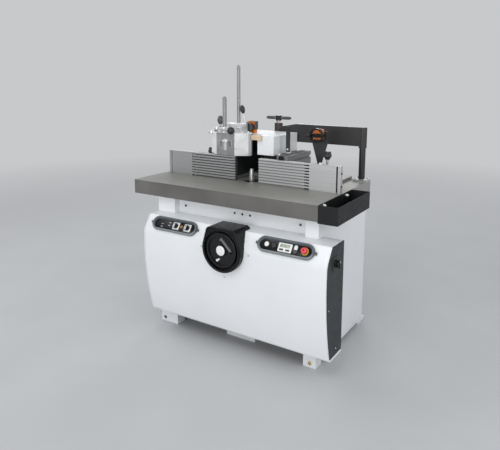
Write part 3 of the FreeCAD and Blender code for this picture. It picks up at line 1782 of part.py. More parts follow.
def counter(label, x, z, front, low, height, bore_depth):
    """Digital position counter with the bore of the adjusting shaft."""
    piece = Piece(label)
    half = d.counter_width / 2
    piece.pad("front", [rect(x - half, low, x + half, low + height)], front, d.counter_depth)
    bore = Circle(x, z, d.adjuster_shaft + 2 * d.running_fit)
    piece.pocket("front", [bore], front, bore_depth)
    return piece.body


def position_counters():
    """The counters of the right and the left fence, two separate solids."""
    right = counter(
        "right_counter",
        ADJUSTER_X,
        ADJUSTER_Z,
        d.right_counter_front,
        ADJUSTER_Z + d.counter_rise - d.counter_height,
        d.counter_height,
        d.counter_depth,
    )
    left = counter(
        "left_counter",
        d.left_counter_x,
        LEFT_WHEEL_Z,
        d.left_counter_front,
        HOOD_TOP,
        d.left_counter_height,
        d.counter_depth - d.sheet,
    )
    return fuse("position_counters", right, left)


def right_adjuster():
    """Open handwheel with two spokes and a grip at its left edge; its shaft runs through the counter."""
    back = d.right_counter_front - d.end_gap
    wheel = Piece("adjuster_wheel", spot(ADJUSTER_X, back, ADJUSTER_Z), FACING_FRONT)
    shaft = d.adjuster_shaft / 2
    shaft_end = d.end_gap + d.counter_depth + d.stand_thickness
    hub = d.adjuster_hub / 2
    rim = d.adjuster_diameter / 2
    rim_inside = rim - d.adjuster_rim
    rim_middle = rim - d.adjuster_rim / 2
    outline = [
        (0, -shaft_end),
        (shaft, -shaft_end),
        (shaft, 0),
        (hub, 0),
        (hub, d.adjuster_width),
        (0, d.adjuster_width),
    ]
    wheel.revolve(outline)
    half_spoke = d.adjuster_spoke / 2
    spokes = rect(-rim_middle, -half_spoke, rim_middle, half_spoke)
    wheel.pad("top", [spokes], 0, d.adjuster_web)
    ring = [Circle(0, 0, 2 * rim), Circle(0, 0, 2 * rim_inside)]
    wheel.pad("top", ring, 0, d.adjuster_width)
    grip_x = ADJUSTER_X - rim + d.adjuster_grip / 2
    grip_at = spot(grip_x, back, ADJUSTER_Z)
    grip_length = d.adjuster_width + d.adjuster_grip_length
    grip = cylinder("adjuster_grip", grip_at, d.adjuster_grip, grip_length, FACING_FRONT)
    return fuse("right_adjuster", wheel.body, grip)


def left_adjuster():
    back = d.left_counter_front - d.end_gap
    piece = Piece("left_adjuster", spot(d.left_counter_x, back, LEFT_WHEEL_Z), FACING_FRONT)
    shaft = d.adjuster_shaft / 2
    shaft_end = d.counter_depth - d.sheet
    knob = d.left_wheel_diameter / 2
    outline = [
        (0, -shaft_end),
        (shaft, -shaft_end),
        (shaft, 0),
        (knob, 0),
        (knob, d.left_wheel_width - d.left_wheel_chamfer),
        (knob - d.left_wheel_chamfer, d.left_wheel_width),
        (0, d.left_wheel_width),
    ]
    piece.revolve(outline)
    return piece.body


def clamp_knob(label, x, y, height):
    """Waisted knob on the bolt that clamps the fence bed."""
    piece = Piece(label, spot(x, y, 0))
    top = BED_TOP + height
    stem = d.clamp_stem / 2
    knob = d.clamp_knob / 2
    low = top - d.clamp_knob_height
    outline = [
        (0, BED_TOP + d.loose_fit),
        (stem, BED_TOP + d.loose_fit),
        (stem, low),
        (d.clamp_neck / 2, low),
        (knob, low + d.clamp_knob_height / 2),
        (knob, top - d.clamp_chamfer),
        (d.clamp_crown / 2, top),
        (0, top),
    ]
    piece.revolve(outline)
    return piece.body


def build():
    return [
        table(),
        table_ring(),
        tray(),
        left_side_frame(),
        right_side_frame(),
        rear_panel(),
        front_beam(),
        front_cover(),
        left_end_cap(),
        right_end_cap(),
        electrical_box(),
        handwheel_shroud(),
        handwheel(),
        handwheel_shaft(),
        crank_handle(),
        left_control_panel(),
        right_control_panel(),
        push_button("start_button", d.start_offset),
        push_button("jog_button", d.jog_offset),
        dual_button(),
        emergency_stop(),
        selector("selector_a", d.selector_a_offset),
        selector("selector_b", d.selector_b_offset),
        main_switch(),
        lift_gearbox(),
        lift_screw(),
        carriage_guide(),
        spindle_carriage(),
        spindle_quill(),
        spindle_shaft(),
        spindle_pulley(),
        motor(),
        motor_pulley(),
        drive_belt(),
        arm_post(),
        arm(),
        lift_handle(),
        fence_bed(),
        guard_box(),
        dust_hood(),
        hood_casting(),
        lift_bracket(),
        pressure_rod(
            "short_rod", d.short_rod_x, d.short_rod_y, d.short_rod_diameter, d.short_rod_length
        ),
        pressure_rod("long_rod", d.long_rod_x, d.long_rod_y, d.long_rod_diameter, d.long_rod_length),
        clamp_lever(),
        casting_knob(),
        rod_lever(),
        fence_bars("left_fence_bars", -1),
        fence_plate("left_fence_plate", -1),
        fence_bars("right_fence_bars", 1),
        fence_plate("right_fence_plate", 1),
        left_slide(),
        right_slide(),
        hold_down_post(),
        adjuster_stand(),
        position_counters(),
        right_adjuster(),
        left_adjuster(),
        clamp_knob("left_clamp_knob", d.left_clamp_x, d.left_clamp_y, d.left_clamp_height),
        clamp_knob("right_clamp_knob", RIGHT_CLAMP_X, d.right_clamp_y, d.right_clamp_height),
    ]


def check(nodes):
    for obj in doc.Objects:
        if "Invalid" in obj.State or "Error" in obj.State:
            raise ValueError(f"{obj.Label} failed: {obj.State}")
    for node in nodes:
        solids = 2 if node.Label == "position_counters" else 1
        if node.Shape.isNull() or not node.Shape.isValid() or len(node.Shape.Solids) != solids:
            raise ValueError(f"{node.Label} is not as many sound solids as it should be")


nodes = build()
doc.recompute()
check(nodes)
os.makedirs("parts", exist_ok=True)
for node in nodes:
    node.Shape.exportStep(f"parts/{node.Label}.step")
print(len(nodes), "nodes written")
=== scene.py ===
"""Looks of the spindle moulder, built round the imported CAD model."""
import json
import math

import bmesh
import bpy
from mathutils import Matrix, Vector


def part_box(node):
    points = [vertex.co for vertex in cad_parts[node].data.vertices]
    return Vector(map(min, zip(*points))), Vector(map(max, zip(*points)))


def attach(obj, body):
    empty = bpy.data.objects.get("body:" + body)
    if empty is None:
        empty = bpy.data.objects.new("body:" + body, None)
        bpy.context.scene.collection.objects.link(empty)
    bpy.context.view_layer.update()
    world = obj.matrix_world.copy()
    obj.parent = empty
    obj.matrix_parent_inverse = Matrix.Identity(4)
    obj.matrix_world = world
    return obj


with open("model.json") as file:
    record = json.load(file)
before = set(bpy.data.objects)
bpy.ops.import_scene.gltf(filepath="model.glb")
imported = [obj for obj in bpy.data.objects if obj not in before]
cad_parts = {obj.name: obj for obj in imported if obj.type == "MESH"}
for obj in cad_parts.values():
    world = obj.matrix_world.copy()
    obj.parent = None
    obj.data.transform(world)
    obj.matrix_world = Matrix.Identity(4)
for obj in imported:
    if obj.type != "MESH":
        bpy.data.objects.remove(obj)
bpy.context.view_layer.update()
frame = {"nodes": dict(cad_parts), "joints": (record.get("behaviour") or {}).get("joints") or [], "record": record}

# Machine frame: millimetres from the floor under the middle of the table
TABLE_LOW, TABLE_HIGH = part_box("table")
ORIGIN = Vector(((TABLE_LOW.x + TABLE_HIGH.x) / 2, (TABLE_LOW.y + TABLE_HIGH.y) / 2, 0))
MM = 0.001
FRONT = Vector((0, -1, 0))
REAR = Vector((0, 1, 0))
RIGHT = Vector((1, 0, 0))
LEFT = Vector((-1, 0, 0))
UP = Vector((0, 0, 1))
SIDES = ((-1, "left"), (1, "right"))


def at(x, y, z):
    """A place in the machine frame, in the metres of the scene."""
    return ORIGIN + Vector((x, y, z)) * MM


# Materials

PAINT_WHITE = (0.83, 0.85, 0.865)
ANTHRACITE_TONES = ((0.024, 0.030, 0.032), (0.034, 0.040, 0.042))
BLACK_TONES = ((0.007, 0.0075, 0.008), (0.011, 0.0115, 0.012))
# How much brighter a powder coat is where it is rubbed
RUBBED = 2.5
# Height up to which the casting's faces carry painted light and shade by the way they turn
CASTING_SHOULDER = 1148
# Half the width of a change of colour at a plane, in metres
CHANGE = 0.0004


class Look:
    """A material: its principled shader and the nodes that vary it over the surface."""

    def __init__(self, name, roughness, metallic=0.0, coat=0.0, specular=0.5):
        self.material = bpy.data.materials.new(name)
        self.material.use_nodes = True
        self.tree = self.material.node_tree
        self.shader = self.tree.nodes["Principled BSDF"]
        inputs = self.shader.inputs
        inputs["Roughness"].default_value = roughness
        inputs["Metallic"].default_value = metallic
        inputs["Coat Weight"].default_value = coat
        inputs["Specular IOR Level"].default_value = specular
        self.soft = None

    def node(self, kind):
        return self.tree.nodes.new(kind)

    def link(self, source, target):
        self.tree.links.new(source, target)

    def place(self, stretch=(1, 1, 1)):
        """The surface's own coordinates in metres, squeezed or stretched along each axis."""
        coordinates = self.node("ShaderNodeTexCoord")
        mapping = self.node("ShaderNodeMapping")
        mapping.inputs["Scale"].default_value = stretch
        self.link(coordinates.outputs["Object"], mapping.inputs["Vector"])
        return mapping.outputs["Vector"]

    def noise(self, scale, stretch=(1, 1, 1), detail=3.0):
        texture = self.node("ShaderNodeTexNoise")
        texture.inputs["Scale"].default_value = scale
        texture.inputs["Detail"].default_value = detail
        self.link(self.place(stretch), texture.inputs["Vector"])
        return texture.outputs[0]

    def spread(self, factor, low, high, start=0.3, end=0.7):
        """Carry a factor from the start..end stretch over to low..high."""
        carry = self.node("ShaderNodeMapRange")
        for socket, value in (("From Min", start), ("From Max", end), ("To Min", low), ("To Max", high)):
            carry.inputs[socket].default_value = value
        self.link(factor, carry.inputs["Value"])
        return carry.outputs["Result"]

    def mix(self, factor, first, second):
        """Blend two colours, each a tuple or another node's colour."""
        blend = self.node("ShaderNodeMix")
        blend.data_type = "RGBA"
        self.link(factor, blend.inputs[0])
        for colour, socket in ((first, blend.inputs[6]), (second, blend.inputs[7])):
            if isinstance(colour, tuple):
                socket.default_value = (*colour, 1.0)
            else:
                self.link(colour, socket)
        return blend.outputs[2]

    def colour(self, colour):
        self.link(colour, self.shader.inputs["Base Color"])

    def roughness(self, factor):
        self.link(factor, self.shader.inputs["Roughness"])

    def bump(self, height, strength, distance):
        relief = self.node("ShaderNodeBump")
        relief.inputs["Strength"].default_value = strength
        relief.inputs["Distance"].default_value = distance
        self.link(height, relief.inputs["Height"])
        if self.soft:
            self.link(self.soft, relief.inputs["Normal"])
        self.link(relief.outputs["Normal"], self.shader.inputs["Normal"])

    def round_edges(self, radius):
        """Let sharp edges catch the light as if broken by a radius; comes before bump and wear."""
        bevel = self.node("ShaderNodeBevel")
        bevel.samples = 6
        bevel.inputs["Radius"].default_value = radius
        self.soft = bevel.outputs["Normal"]

    def wear(self):
        """A factor that grows towards the rounded edges."""
        geometry = self.node("ShaderNodeNewGeometry")
        square = self.node("ShaderNodeVectorMath")
        square.operation = "DOT_PRODUCT"
        self.link(self.soft, square.inputs[0])
        self.link(geometry.outputs["Normal"], square.inputs[1])
        return self.spread(square.outputs["Value"], 1.0, 0.0, start=0.8, end=0.98)

    def both(self, first, second):
        """The product of two factors."""
        product = self.node("ShaderNodeMath")
        product.operation = "MULTIPLY"
        self.link(first, product.inputs[0])
        self.link(second, product.inputs[1])
        return product.outputs["Value"]

    def drift(self, scale, dark, light):
        """A colour that drifts between two tones in clouds."""
        return self.mix(self.spread(self.noise(scale), 0, 1), dark, light)

    def mottled(self, colour, depth=0.15, scale=20.0):
        """A colour with faint cloudy tone changes."""
        dark = tuple(part * (1 - depth) for part in colour)
        return self.drift(scale, dark, colour)

    def along(self, direction, point):
        """How far a surface point lies beyond the given point in a direction, in metres."""
        offset = self.node("ShaderNodeVectorMath")
        offset.operation = "SUBTRACT"
        offset.inputs[1].default_value = point
        self.link(self.place(), offset.inputs[0])
        reach = self.node("ShaderNodeVectorMath")
        reach.operation = "DOT_PRODUCT"
        reach.inputs[1].default_value = direction
        self.link(offset.outputs["Vector"], reach.inputs[0])
        return reach.outputs["Value"]

    def beyond(self, direction, point):
        """A factor that changes from 0 to 1 at the plane through a point."""
        return self.spread(self.along(direction, point), 0, 1, -CHANGE, CHANGE)

    def facing(self, direction, start, end):
        """A factor that is 1 where the surface faces a direction; start and end are cosines."""
        coordinates = self.node("ShaderNodeTexCoord")
        square = self.node("ShaderNodeVectorMath")
        square.operation = "DOT_PRODUCT"
        square.inputs[1].default_value = direction
        self.link(coordinates.outputs["Normal"], square.inputs[0])
        return self.spread(square.outputs["Value"], 0, 1, start, end)

    def coat_skin(self, low, high, strength):
        """Give a powder coat's grain and patchy roughness."""
        self.roughness(self.spread(self.noise(45.0), low, high))
        self.bump(self.noise(1100.0, detail=2.0), strength, distance=0.0003)

    def plastic_skin(self, low, high, strength):
        """Give a moulding's fine grain and patchy roughness."""
        self.roughness(self.spread(self.noise(60.0), low, high))
        self.bump(self.noise(1800.0, detail=1.0), strength, distance=0.0002)


def white_paint(name, edge):
    """Powder coat with orange peel, faint tone changes and a trace of floor dirt."""
    look = Look(name, roughness=0.4, coat=0.15)
    look.round_edges(edge)
    tone = look.drift(3.0, (0.79, 0.81, 0.83), PAINT_WHITE)
    low = look.spread(look.along(UP, (0, 0, 0)), 0.35, 0.0, start=0.0, end=0.14)
    scuffs = look.spread(look.noise(14.0, stretch=(1, 1, 3)), 0, 1, start=0.45, end=0.75)
    look.colour(look.mix(look.both(low, scuffs), tone, (0.5, 0.51, 0.5)))
    look.roughness(look.spread(look.noise(30.0), 0.34, 0.44))
    look.bump(look.noise(650.0, detail=1.0), strength=0.05, distance=0.0004)
    return look.material


def planed_iron():
    """Cast iron planed along the table, brighter on top and on its right end than on its other edges; this
    brightness is painted light, set by the way each face turns and laid over the planing streaks of the top.
    """
    look = Look("planed_iron", roughness=0.45, metallic=0.55)
    look.round_edges(0.002)
    streaks = look.noise(26.0, stretch=(0.12, 8, 8), detail=5.0)
    cloud = look.noise(5.0)
    top = look.mix(look.spread(streaks, 0, 1), (0.29, 0.287, 0.265), (0.37, 0.366, 0.34))
    edge = look.mix(look.spread(cloud, 0, 1), (0.15, 0.145, 0.137), (0.20, 0.195, 0.184))
    # Painted light: faces turned right and faces turned up get lighter colours than the front and left edges
    sides = look.mix(look.facing(RIGHT, 0.6, 0.9), edge, (0.36, 0.355, 0.34))
    faces = look.mix(look.facing(UP, 0.3, 0.8), sides, top)
    look.colour(look.mix(look.wear(), faces, (0.42, 0.415, 0.40)))
    look.roughness(look.spread(cloud, 0.42, 0.56))
    look.bump(streaks, strength=0.12, distance=0.0004)
    return look.material


def powder_coat(name, dark, light, roughness, specular=0.5, lip=None):
    """Fine-grained matt coat, a little rubbed along its edges, and white below a lip where one is given."""
    look = Look(name, roughness, specular=specular)
    look.round_edges(0.0018)
    rubbed = tuple(part * RUBBED for part in light)
    coat = look.mix(look.wear(), look.drift(8.0, dark, light), rubbed)
    if lip is not None:
        coat = look.mix(look.beyond(UP, lip), look.mottled(PAINT_WHITE, 0.04, 3.0), coat)
    look.colour(coat)
    look.coat_skin(roughness - 0.06, roughness + 0.06, strength=0.22)
    return look.material


def cast_paint():
    """Painted sand casting."""
    look = Look("cast_paint", roughness=0.5)
    grain = look.noise(380.0, detail=4.0)
    look.colour(look.mix(look.spread(grain, 0, 1), (0.15, 0.16, 0.17), (0.21, 0.22, 0.23)))
    look.roughness(look.spread(look.noise(20.0), 0.45, 0.6))
    look.bump(grain, strength=0.35, distance=0.0006)
    return look.material


def moulded(name, dark, light, roughness, grain=0.08, specular=0.5):
    """Moulded plastic with a fine spark-eroded grain."""
    look = Look(name, roughness, specular=specular)
    look.round_edges(0.0012)
    look.colour(look.drift(18.0, dark, light))
    look.plastic_skin(roughness - 0.05, roughness + 0.05, strength=grain)
    return look.material


def shroud_plastic():
    """Glossy black moulding with a painted highlight, a lighter colour, along its rounded edges."""
    look = Look("shroud_black", roughness=0.24, specular=0.16)
    look.round_edges(0.004)
    # The wear factor here marks a painted highlight along the rounded edges, not wear
    look.colour(look.mix(look.wear(), look.drift(18.0, *BLACK_TONES), (0.085, 0.087, 0.09)))
    look.plastic_skin(0.19, 0.29, strength=0.03)
    return look.material


def drawn_aluminium(name, dark, light, bright_top=False):
    """Extruded aluminium with fine lines along its length and bright edges, some with a milled top."""
    look = Look(name, roughness=0.4, metallic=0.6)
    look.round_edges(0.001)
    lines = look.noise(40.0, stretch=(0.08, 9, 14), detail=5.0)
    skin = look.mix(look.spread(lines, 0, 1), dark, light)
    if bright_top:
        skin = look.mix(look.facing(UP, 0.6, 0.85), skin, (0.80, 0.80, 0.80))
    look.colour(look.mix(look.wear(), skin, (0.78, 0.785, 0.79)))
    look.roughness(look.spread(lines, 0.34, 0.48))
    look.bump(lines, strength=0.15, distance=0.0003)
    return look.material


def bright_casting(name, front_dark, front_light):
    """Bead-blasted aluminium casting whose front, right and left faces have tones of their own, painted light set
    by the way each face turns: a painted highlight on the left face, painted shade on the right end, and the given
    front tones as a painted reflection.
    """
    look = Look(name, roughness=0.34, metallic=0.5)
    look.round_edges(0.002)
    skin = look.noise(210.0, detail=5.0)
    cloud = look.noise(16.0, detail=2.0)
    tone = look.spread(cloud, 0, 1)
    metal = look.mix(tone, (0.66, 0.665, 0.67), (0.82, 0.825, 0.83))
    front = look.mix(tone, front_dark, front_light)
    body = look.spread(look.along(UP, at(0, 0, CASTING_SHOULDER)), 1, 0, start=-0.002, end=0.002)
    # Painted light and reflection by facing: front, right end and left face below the shoulder
    square = look.both(body, look.facing(FRONT, 0.9, 0.98))
    end = look.both(body, look.facing(RIGHT, 0.62, 0.74))
    left = look.both(body, look.facing(LEFT, 0.45, 0.6))
    bright = look.mix(left, metal, (0.92, 0.92, 0.92))
    faces = look.mix(end, look.mix(square, bright, front), (0.36, 0.365, 0.37))
    look.colour(look.mix(look.wear(), faces, (0.9, 0.9, 0.9)))
    look.roughness(look.spread(cloud, 0.26, 0.42))
    look.bump(skin, strength=0.3, distance=0.0007)
    return look.material


def ground_bar(name, dark, light, roughness, metallic):
    """Ground bar with faint upright streaks."""
    look = Look(name, roughness, metallic=metallic)
    look.round_edges(0.001)
    streaks = look.noise(120.0, stretch=(1, 1, 0.06))
    look.colour(look.mix(look.spread(streaks, 0, 1), dark, light))
    look.roughness(look.spread(look.noise(40.0), roughness - 0.06, roughness + 0.06))
    look.bump(streaks, strength=0.03, distance=0.0001)
    return look.material


def screw_metal(name, dark, light, roughness, scale):
    """Metal of small fasteners, with specks of the given scale."""
    look = Look(name, roughness, metallic=0.9)
    look.colour(look.drift(scale, dark, light))
    look.bump(look.noise(900.0), strength=0.1, distance=0.0002)
    return look.material


def belt_rubber():
    """Ribbed belt."""
    look = Look("belt_rubber", roughness=0.7)
    ribs = look.node("ShaderNodeTexWave")
    ribs.bands_direction = "Z"
    ribs.inputs["Scale"].default_value = 60.0
    look.link(look.place(), ribs.inputs["Vector"])
    look.colour(look.mix(ribs.outputs["Fac"], (0.012, 0.012, 0.013), (0.03, 0.03, 0.031)))
    look.bump(ribs.outputs["Fac"], strength=0.5, distance=0.001)
    return look.material


def beech_wood():
    """Pale planed wood with its grain along the block."""
    look = Look("beech_wood", roughness=0.55)
    grain = look.noise(90.0, stretch=(0.12, 1, 1), detail=6.0)
    look.colour(look.mix(look.spread(grain, 0, 1), (0.55, 0.40, 0.25), (0.74, 0.60, 0.43)))
    look.bump(grain, strength=0.15, distance=0.0004)
    return look.material


def display_glass():
    """Greenish grey liquid-crystal window with faint dark streaks."""
    look = Look("display_glass", roughness=0.15, coat=0.5)
    rows = look.noise(260.0, stretch=(1, 0.3, 0.3), detail=1.0)
    dark = look.spread(rows, 0, 1, start=0.45, end=0.62)
    look.colour(look.mix(dark, (0.42, 0.47, 0.36), (0.24, 0.28, 0.21)))
    return look.material


def tipped(name, direction, point, plastic):
    """Bright steel up to a plane and moulded plastic beyond it."""
    look = Look(name, roughness=0.34)
    side = look.beyond(direction, point)
    look.colour(look.mix(side, look.mottled((0.62, 0.625, 0.63)), look.mottled(plastic)))
    look.link(look.spread(side, 0.85, 0.0, start=0.0, end=1.0), look.shader.inputs["Metallic"])
    look.roughness(look.spread(look.noise(60.0), 0.28, 0.4))
    look.bump(look.noise(1400.0, detail=1.0), strength=0.05, distance=0.0002)
    return look.material


def arm_coat():
    """Black coat on the folded arm, painted pale on its upper faces as a painted highlight, and a little rubbed
    along its edges.
    """
    look = Look("arm_coat", roughness=0.42)
    look.round_edges(0.002)
    coat = look.mottled((0.030, 0.029, 0.029), 0.3, 8.0)
    # Painted highlight: faces turned up get a pale colour
    up = look.facing(UP, 0.6, 0.9)
    pale = look.mix(up, coat, look.mottled((0.52, 0.525, 0.53), 0.2, 30.0))
    look.colour(look.mix(look.wear(), pale, (0.2, 0.2, 0.205)))
    look.coat_skin(0.36, 0.5, strength=0.2)
    return look.material


def capped(name, outward):
    """Dark coat on the outer face, white paint on the edges."""
    look = Look(name, roughness=0.48)
    coat = look.mottled((0.04, 0.046, 0.049), 0.25, 8.0)
    square = look.facing(outward, 0.7, 0.9)
    look.colour(look.mix(square, look.mottled(PAINT_WHITE, 0.04, 3.0), coat))
    look.coat_skin(0.42, 0.54, strength=0.15)
    return look.material


def bezel_plastic(upward, middle):
    """Slate-grey moulding that is lighter on its lower half."""
    look = Look("bezel_grey", roughness=0.42)
    look.round_edges(0.0015)
    low = look.spread(look.along(upward, middle), 1, 0, start=-0.024, end=-0.004)
    slate = look.mottled((0.105, 0.122, 0.135), 0.2, 18.0)
    look.colour(look.mix(low, slate, look.mottled((0.235, 0.26, 0.265), 0.2, 18.0)))
    look.plastic_skin(0.37, 0.47, strength=0.12)
    return look.material


def two_halves(name, direction, point, below, above, roughness):
    """Moulded plastic whose colour changes at a plane."""
    look = Look(name, roughness)
    side = look.beyond(direction, point)
    look.colour(look.mix(side, look.mottled(below), look.mottled(above, 0.05)))
    look.plastic_skin(roughness - 0.05, roughness + 0.05, strength=0.06)
    return look.material


# Small parts are built as meshes in millimetres and set into the machine frame

# Distance in millimetres under which two points count as one
TINY = 1e-4
SHARP_ANGLE = math.radians(35)
HEXAGON_SIDE = math.radians(60)


def axes_at(origin, out, right=None):
    """A place whose own z axis points out; right is the direction of its own x axis."""
    if right is None:
        right = UP if abs(out.z) < 0.9 else RIGHT
        right = right.cross(out)
    z_axis = out.normalized()
    x_axis = (right - z_axis * right.dot(z_axis)).normalized()
    y_axis = z_axis.cross(x_axis)
    turn = Matrix((x_axis, y_axis, z_axis)).transposed().to_4x4()
    return Matrix.Translation(origin) @ turn @ Matrix.Scale(MM, 4)


def keep(name, form, place, material, body):
    """Turn a form into a piece of the scene that rides on a body."""
    bmesh.ops.remove_doubles(form, verts=form.verts[:], dist=TINY)
    form.transform(place)
    bmesh.ops.recalc_face_normals(form, faces=form.faces[:])
    mesh = bpy.data.meshes.new(name)
    form.to_mesh(mesh)
    form.free()
    for polygon in mesh.polygons:
        polygon.use_smooth = True
    mesh.set_sharp_from_angle(angle=SHARP_ANGLE)
    mesh.materials.append(material)
    piece = bpy.data.objects.new(name, mesh)
    bpy.context.scene.collection.objects.link(piece)
    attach(piece, body)


def add_turned(form, profile, segments):
    """Add a surface turned about the z axis from points of radius and height."""
    verts = [form.verts.new((radius, 0, height)) for radius, height in profile]
    edges = [form.edges.new(pair) for pair in zip(verts, verts[1:])]
    bmesh.ops.spin(
        form,
        geom=verts + edges,
        axis=(0, 0, 1),
        cent=(0, 0, 0),
        steps=segments,
        angle=2 * math.pi,
        use_merge=True,
    )


def turned(profile, segments):
    form = bmesh.new()
    add_turned(form, profile, segments)
    return form


def add_block(form, low, high, bevel):
    """Add a box with rounded edges between two corners."""
    verts = bmesh.ops.create_cube(form, size=1)["verts"]
    for vert in verts:
        for axis in range(3):
            vert.co[axis] = high[axis] if vert.co[axis] > 0 else low[axis]
    edges = list({edge for vert in verts for edge in vert.link_edges})
    bmesh.ops.bevel(form, geom=edges, offset=bevel, segments=3, profile=0.5, affect="EDGES")


def block(low, high, bevel):
    form = bmesh.new()
    add_block(form, low, high, bevel)
    return form


def oblong(length, height, radius, steps):
    """Points round a rectangle with rounded corners, anticlockwise."""
    points = []
    corners = ((1, 1, 0), (-1, 1, 90), (-1, -1, 180), (1, -1, 270))
    for side, end, start in corners:
        centre = (side * (length / 2 - radius), end * (height / 2 - radius))
        for step in range(steps + 1):
            angle = math.radians(start + 90 * step / steps)
            points.append((centre[0] + radius * math.cos(angle), centre[1] + radius * math.sin(angle)))
    return points


def add_band(form, lower, upper):
    """Join two rings with the same count of points by faces."""
    for index in range(len(lower)):
        after = (index + 1) % len(lower)
        form.faces.new((lower[index], lower[after], upper[after], upper[index]))


def plate(points, low, high, bevel):
    """A flat plate with its upper edge rounded."""
    form = bmesh.new()
    layers = [(0, low), (0, high - bevel), (bevel * 0.3, high - bevel * 0.3), (bevel, high)]
    middle = Vector((sum(p[0] for p in points) / len(points), sum(p[1] for p in points) / len(points)))
    rings = []
    for inset, height in layers:
        ring = []
        for point in points:
            offset = Vector(point) - middle
            reach = offset.length
            spot = middle + offset * ((reach - inset) / reach)
            ring.append(form.verts.new((spot.x, spot.y, height)))
        rings.append(ring)
    for lower, upper in zip(rings, rings[1:]):
        add_band(form, lower, upper)
    form.faces.new(rings[0][::-1])
    form.faces.new(rings[-1])
    return form


def framed(rings):
    """A closed frame through outlines with the same count of points, the last joined to the first."""
    form = bmesh.new()
    loops = [[form.verts.new(point) for point in ring] for ring in rings]
    for lower, upper in zip(loops, loops[1:] + loops[:1]):
        add_band(form, lower, upper)
    return form


def stepped(steps):
    """A closed frame through pairs of an outline and its height."""
    return framed([[(x, y, height) for x, y in points] for points, height in steps])


def hexagon_reach(angle):
    """Distance to a hexagon's side in a direction, with the corners at a distance of 1."""
    half = HEXAGON_SIDE / 2
    return math.cos(half) / math.cos(angle % HEXAGON_SIDE - half)


def screw_head(diameter, height):
    """Domed screw head with a hexagon recess."""
    radius = diameter / 2
    dome = [(radius, 0), (radius, height * 0.35), (radius * 0.86, height * 0.75), (radius * 0.5, height)]
    form = turned(dome, 24)
    rim = [vert for vert in form.verts if vert.co.z > height - TINY]
    rim.sort(key=lambda vert: math.atan2(vert.co.y, vert.co.x))
    floor = []
    for vert in rim:
        angle = math.atan2(vert.co.y, vert.co.x)
        reach = radius * 0.42 * hexagon_reach(angle)
        floor.append(form.verts.new((reach * math.cos(angle), reach * math.sin(angle), height * 0.4)))
    add_band(form, rim, floor)
    form.faces.new(floor)
    return form


def screw(name, x, y, z, out, diameter, material, body, height=None):
    """A screw head that stands on a face at a place."""
    form = screw_head(diameter, height or diameter * 0.4)
    keep(name, form, axes_at(at(x, y, z), out), material, body)


# Place of forms that are drawn in the machine frame itself
MACHINE = axes_at(at(0, 0, 0), UP, RIGHT)

# Materials of all the pieces

WHITE = white_paint("white_paint", edge=0.0025)
COVER_WHITE = white_paint("cover_white", edge=0.012)
IRON = planed_iron()
ANTHRACITE = powder_coat("anthracite_coat", *ANTHRACITE_TONES, roughness=0.5, specular=0.35)
BLACK_COAT = powder_coat("black_coat", (0.016, 0.017, 0.019), (0.028, 0.029, 0.031), roughness=0.42)
TRAY_TONES = ((0.007, 0.0085, 0.009), (0.011, 0.013, 0.014))
TRAY_COAT = powder_coat("tray_coat", *TRAY_TONES, roughness=0.5, specular=0.3)
CAST_PAINT = cast_paint()
BLACK = moulded("black_plastic", *BLACK_TONES, roughness=0.24, grain=0.03, specular=0.3)
INLAY = moulded("inlay_black", (0.014, 0.017, 0.017), (0.022, 0.025, 0.025), roughness=0.5)
DARK_GREY = moulded("dark_grey_plastic", (0.055, 0.058, 0.06), (0.075, 0.078, 0.08), roughness=0.45)
MID_GREY = moulded("mid_grey_plastic", (0.10, 0.105, 0.11), (0.14, 0.145, 0.15), roughness=0.4)
PALE_GREY = moulded("pale_grey_plastic", (0.50, 0.505, 0.53), (0.60, 0.605, 0.63), roughness=0.35, grain=0.03)
AMBER = moulded("amber_lens", (0.30, 0.15, 0.025), (0.44, 0.24, 0.05), roughness=0.2, grain=0.03)
PALE = moulded("white_plastic", (0.78, 0.78, 0.77), (0.84, 0.84, 0.83), roughness=0.3, grain=0.03)
RED = moulded("red_plastic", (0.68, 0.045, 0.06), (0.80, 0.075, 0.095), roughness=0.3, grain=0.03)
YELLOW = moulded("yellow_plastic", (0.72, 0.50, 0.03), (0.82, 0.60, 0.05), roughness=0.35, grain=0.03)
ORANGE = moulded("orange_plastic", (0.74, 0.17, 0.02), (0.86, 0.24, 0.035), roughness=0.35, grain=0.03)
ALUMINIUM = drawn_aluminium("drawn_aluminium", (0.47, 0.475, 0.48), (0.60, 0.605, 0.61))
# Lit and shaded copies of one aluminium: the left plate is darker as painted shade, and the bars of both fences
# are darker still, painted shade of their recesses, most on the left
SHADED_LEFT_PLATE = drawn_aluminium("shaded_left_plate", (0.34, 0.342, 0.344), (0.44, 0.442, 0.444), bright_top=True)
RIGHT_PLATE = drawn_aluminium("right_plate", (0.47, 0.475, 0.48), (0.60, 0.605, 0.61), bright_top=True)
BED_ALUMINIUM = drawn_aluminium("bed_aluminium", (0.26, 0.257, 0.245), (0.34, 0.336, 0.32))
SHADED_LEFT_BAR = drawn_aluminium("shaded_left_bar", (0.075, 0.075, 0.077), (0.12, 0.12, 0.122))
SHADED_RIGHT_BAR = drawn_aluminium("shaded_right_bar", (0.22, 0.22, 0.222), (0.31, 0.31, 0.312))
SLIDE_ALUMINIUM = drawn_aluminium("slide_aluminium", (0.17, 0.17, 0.172), (0.27, 0.27, 0.272))
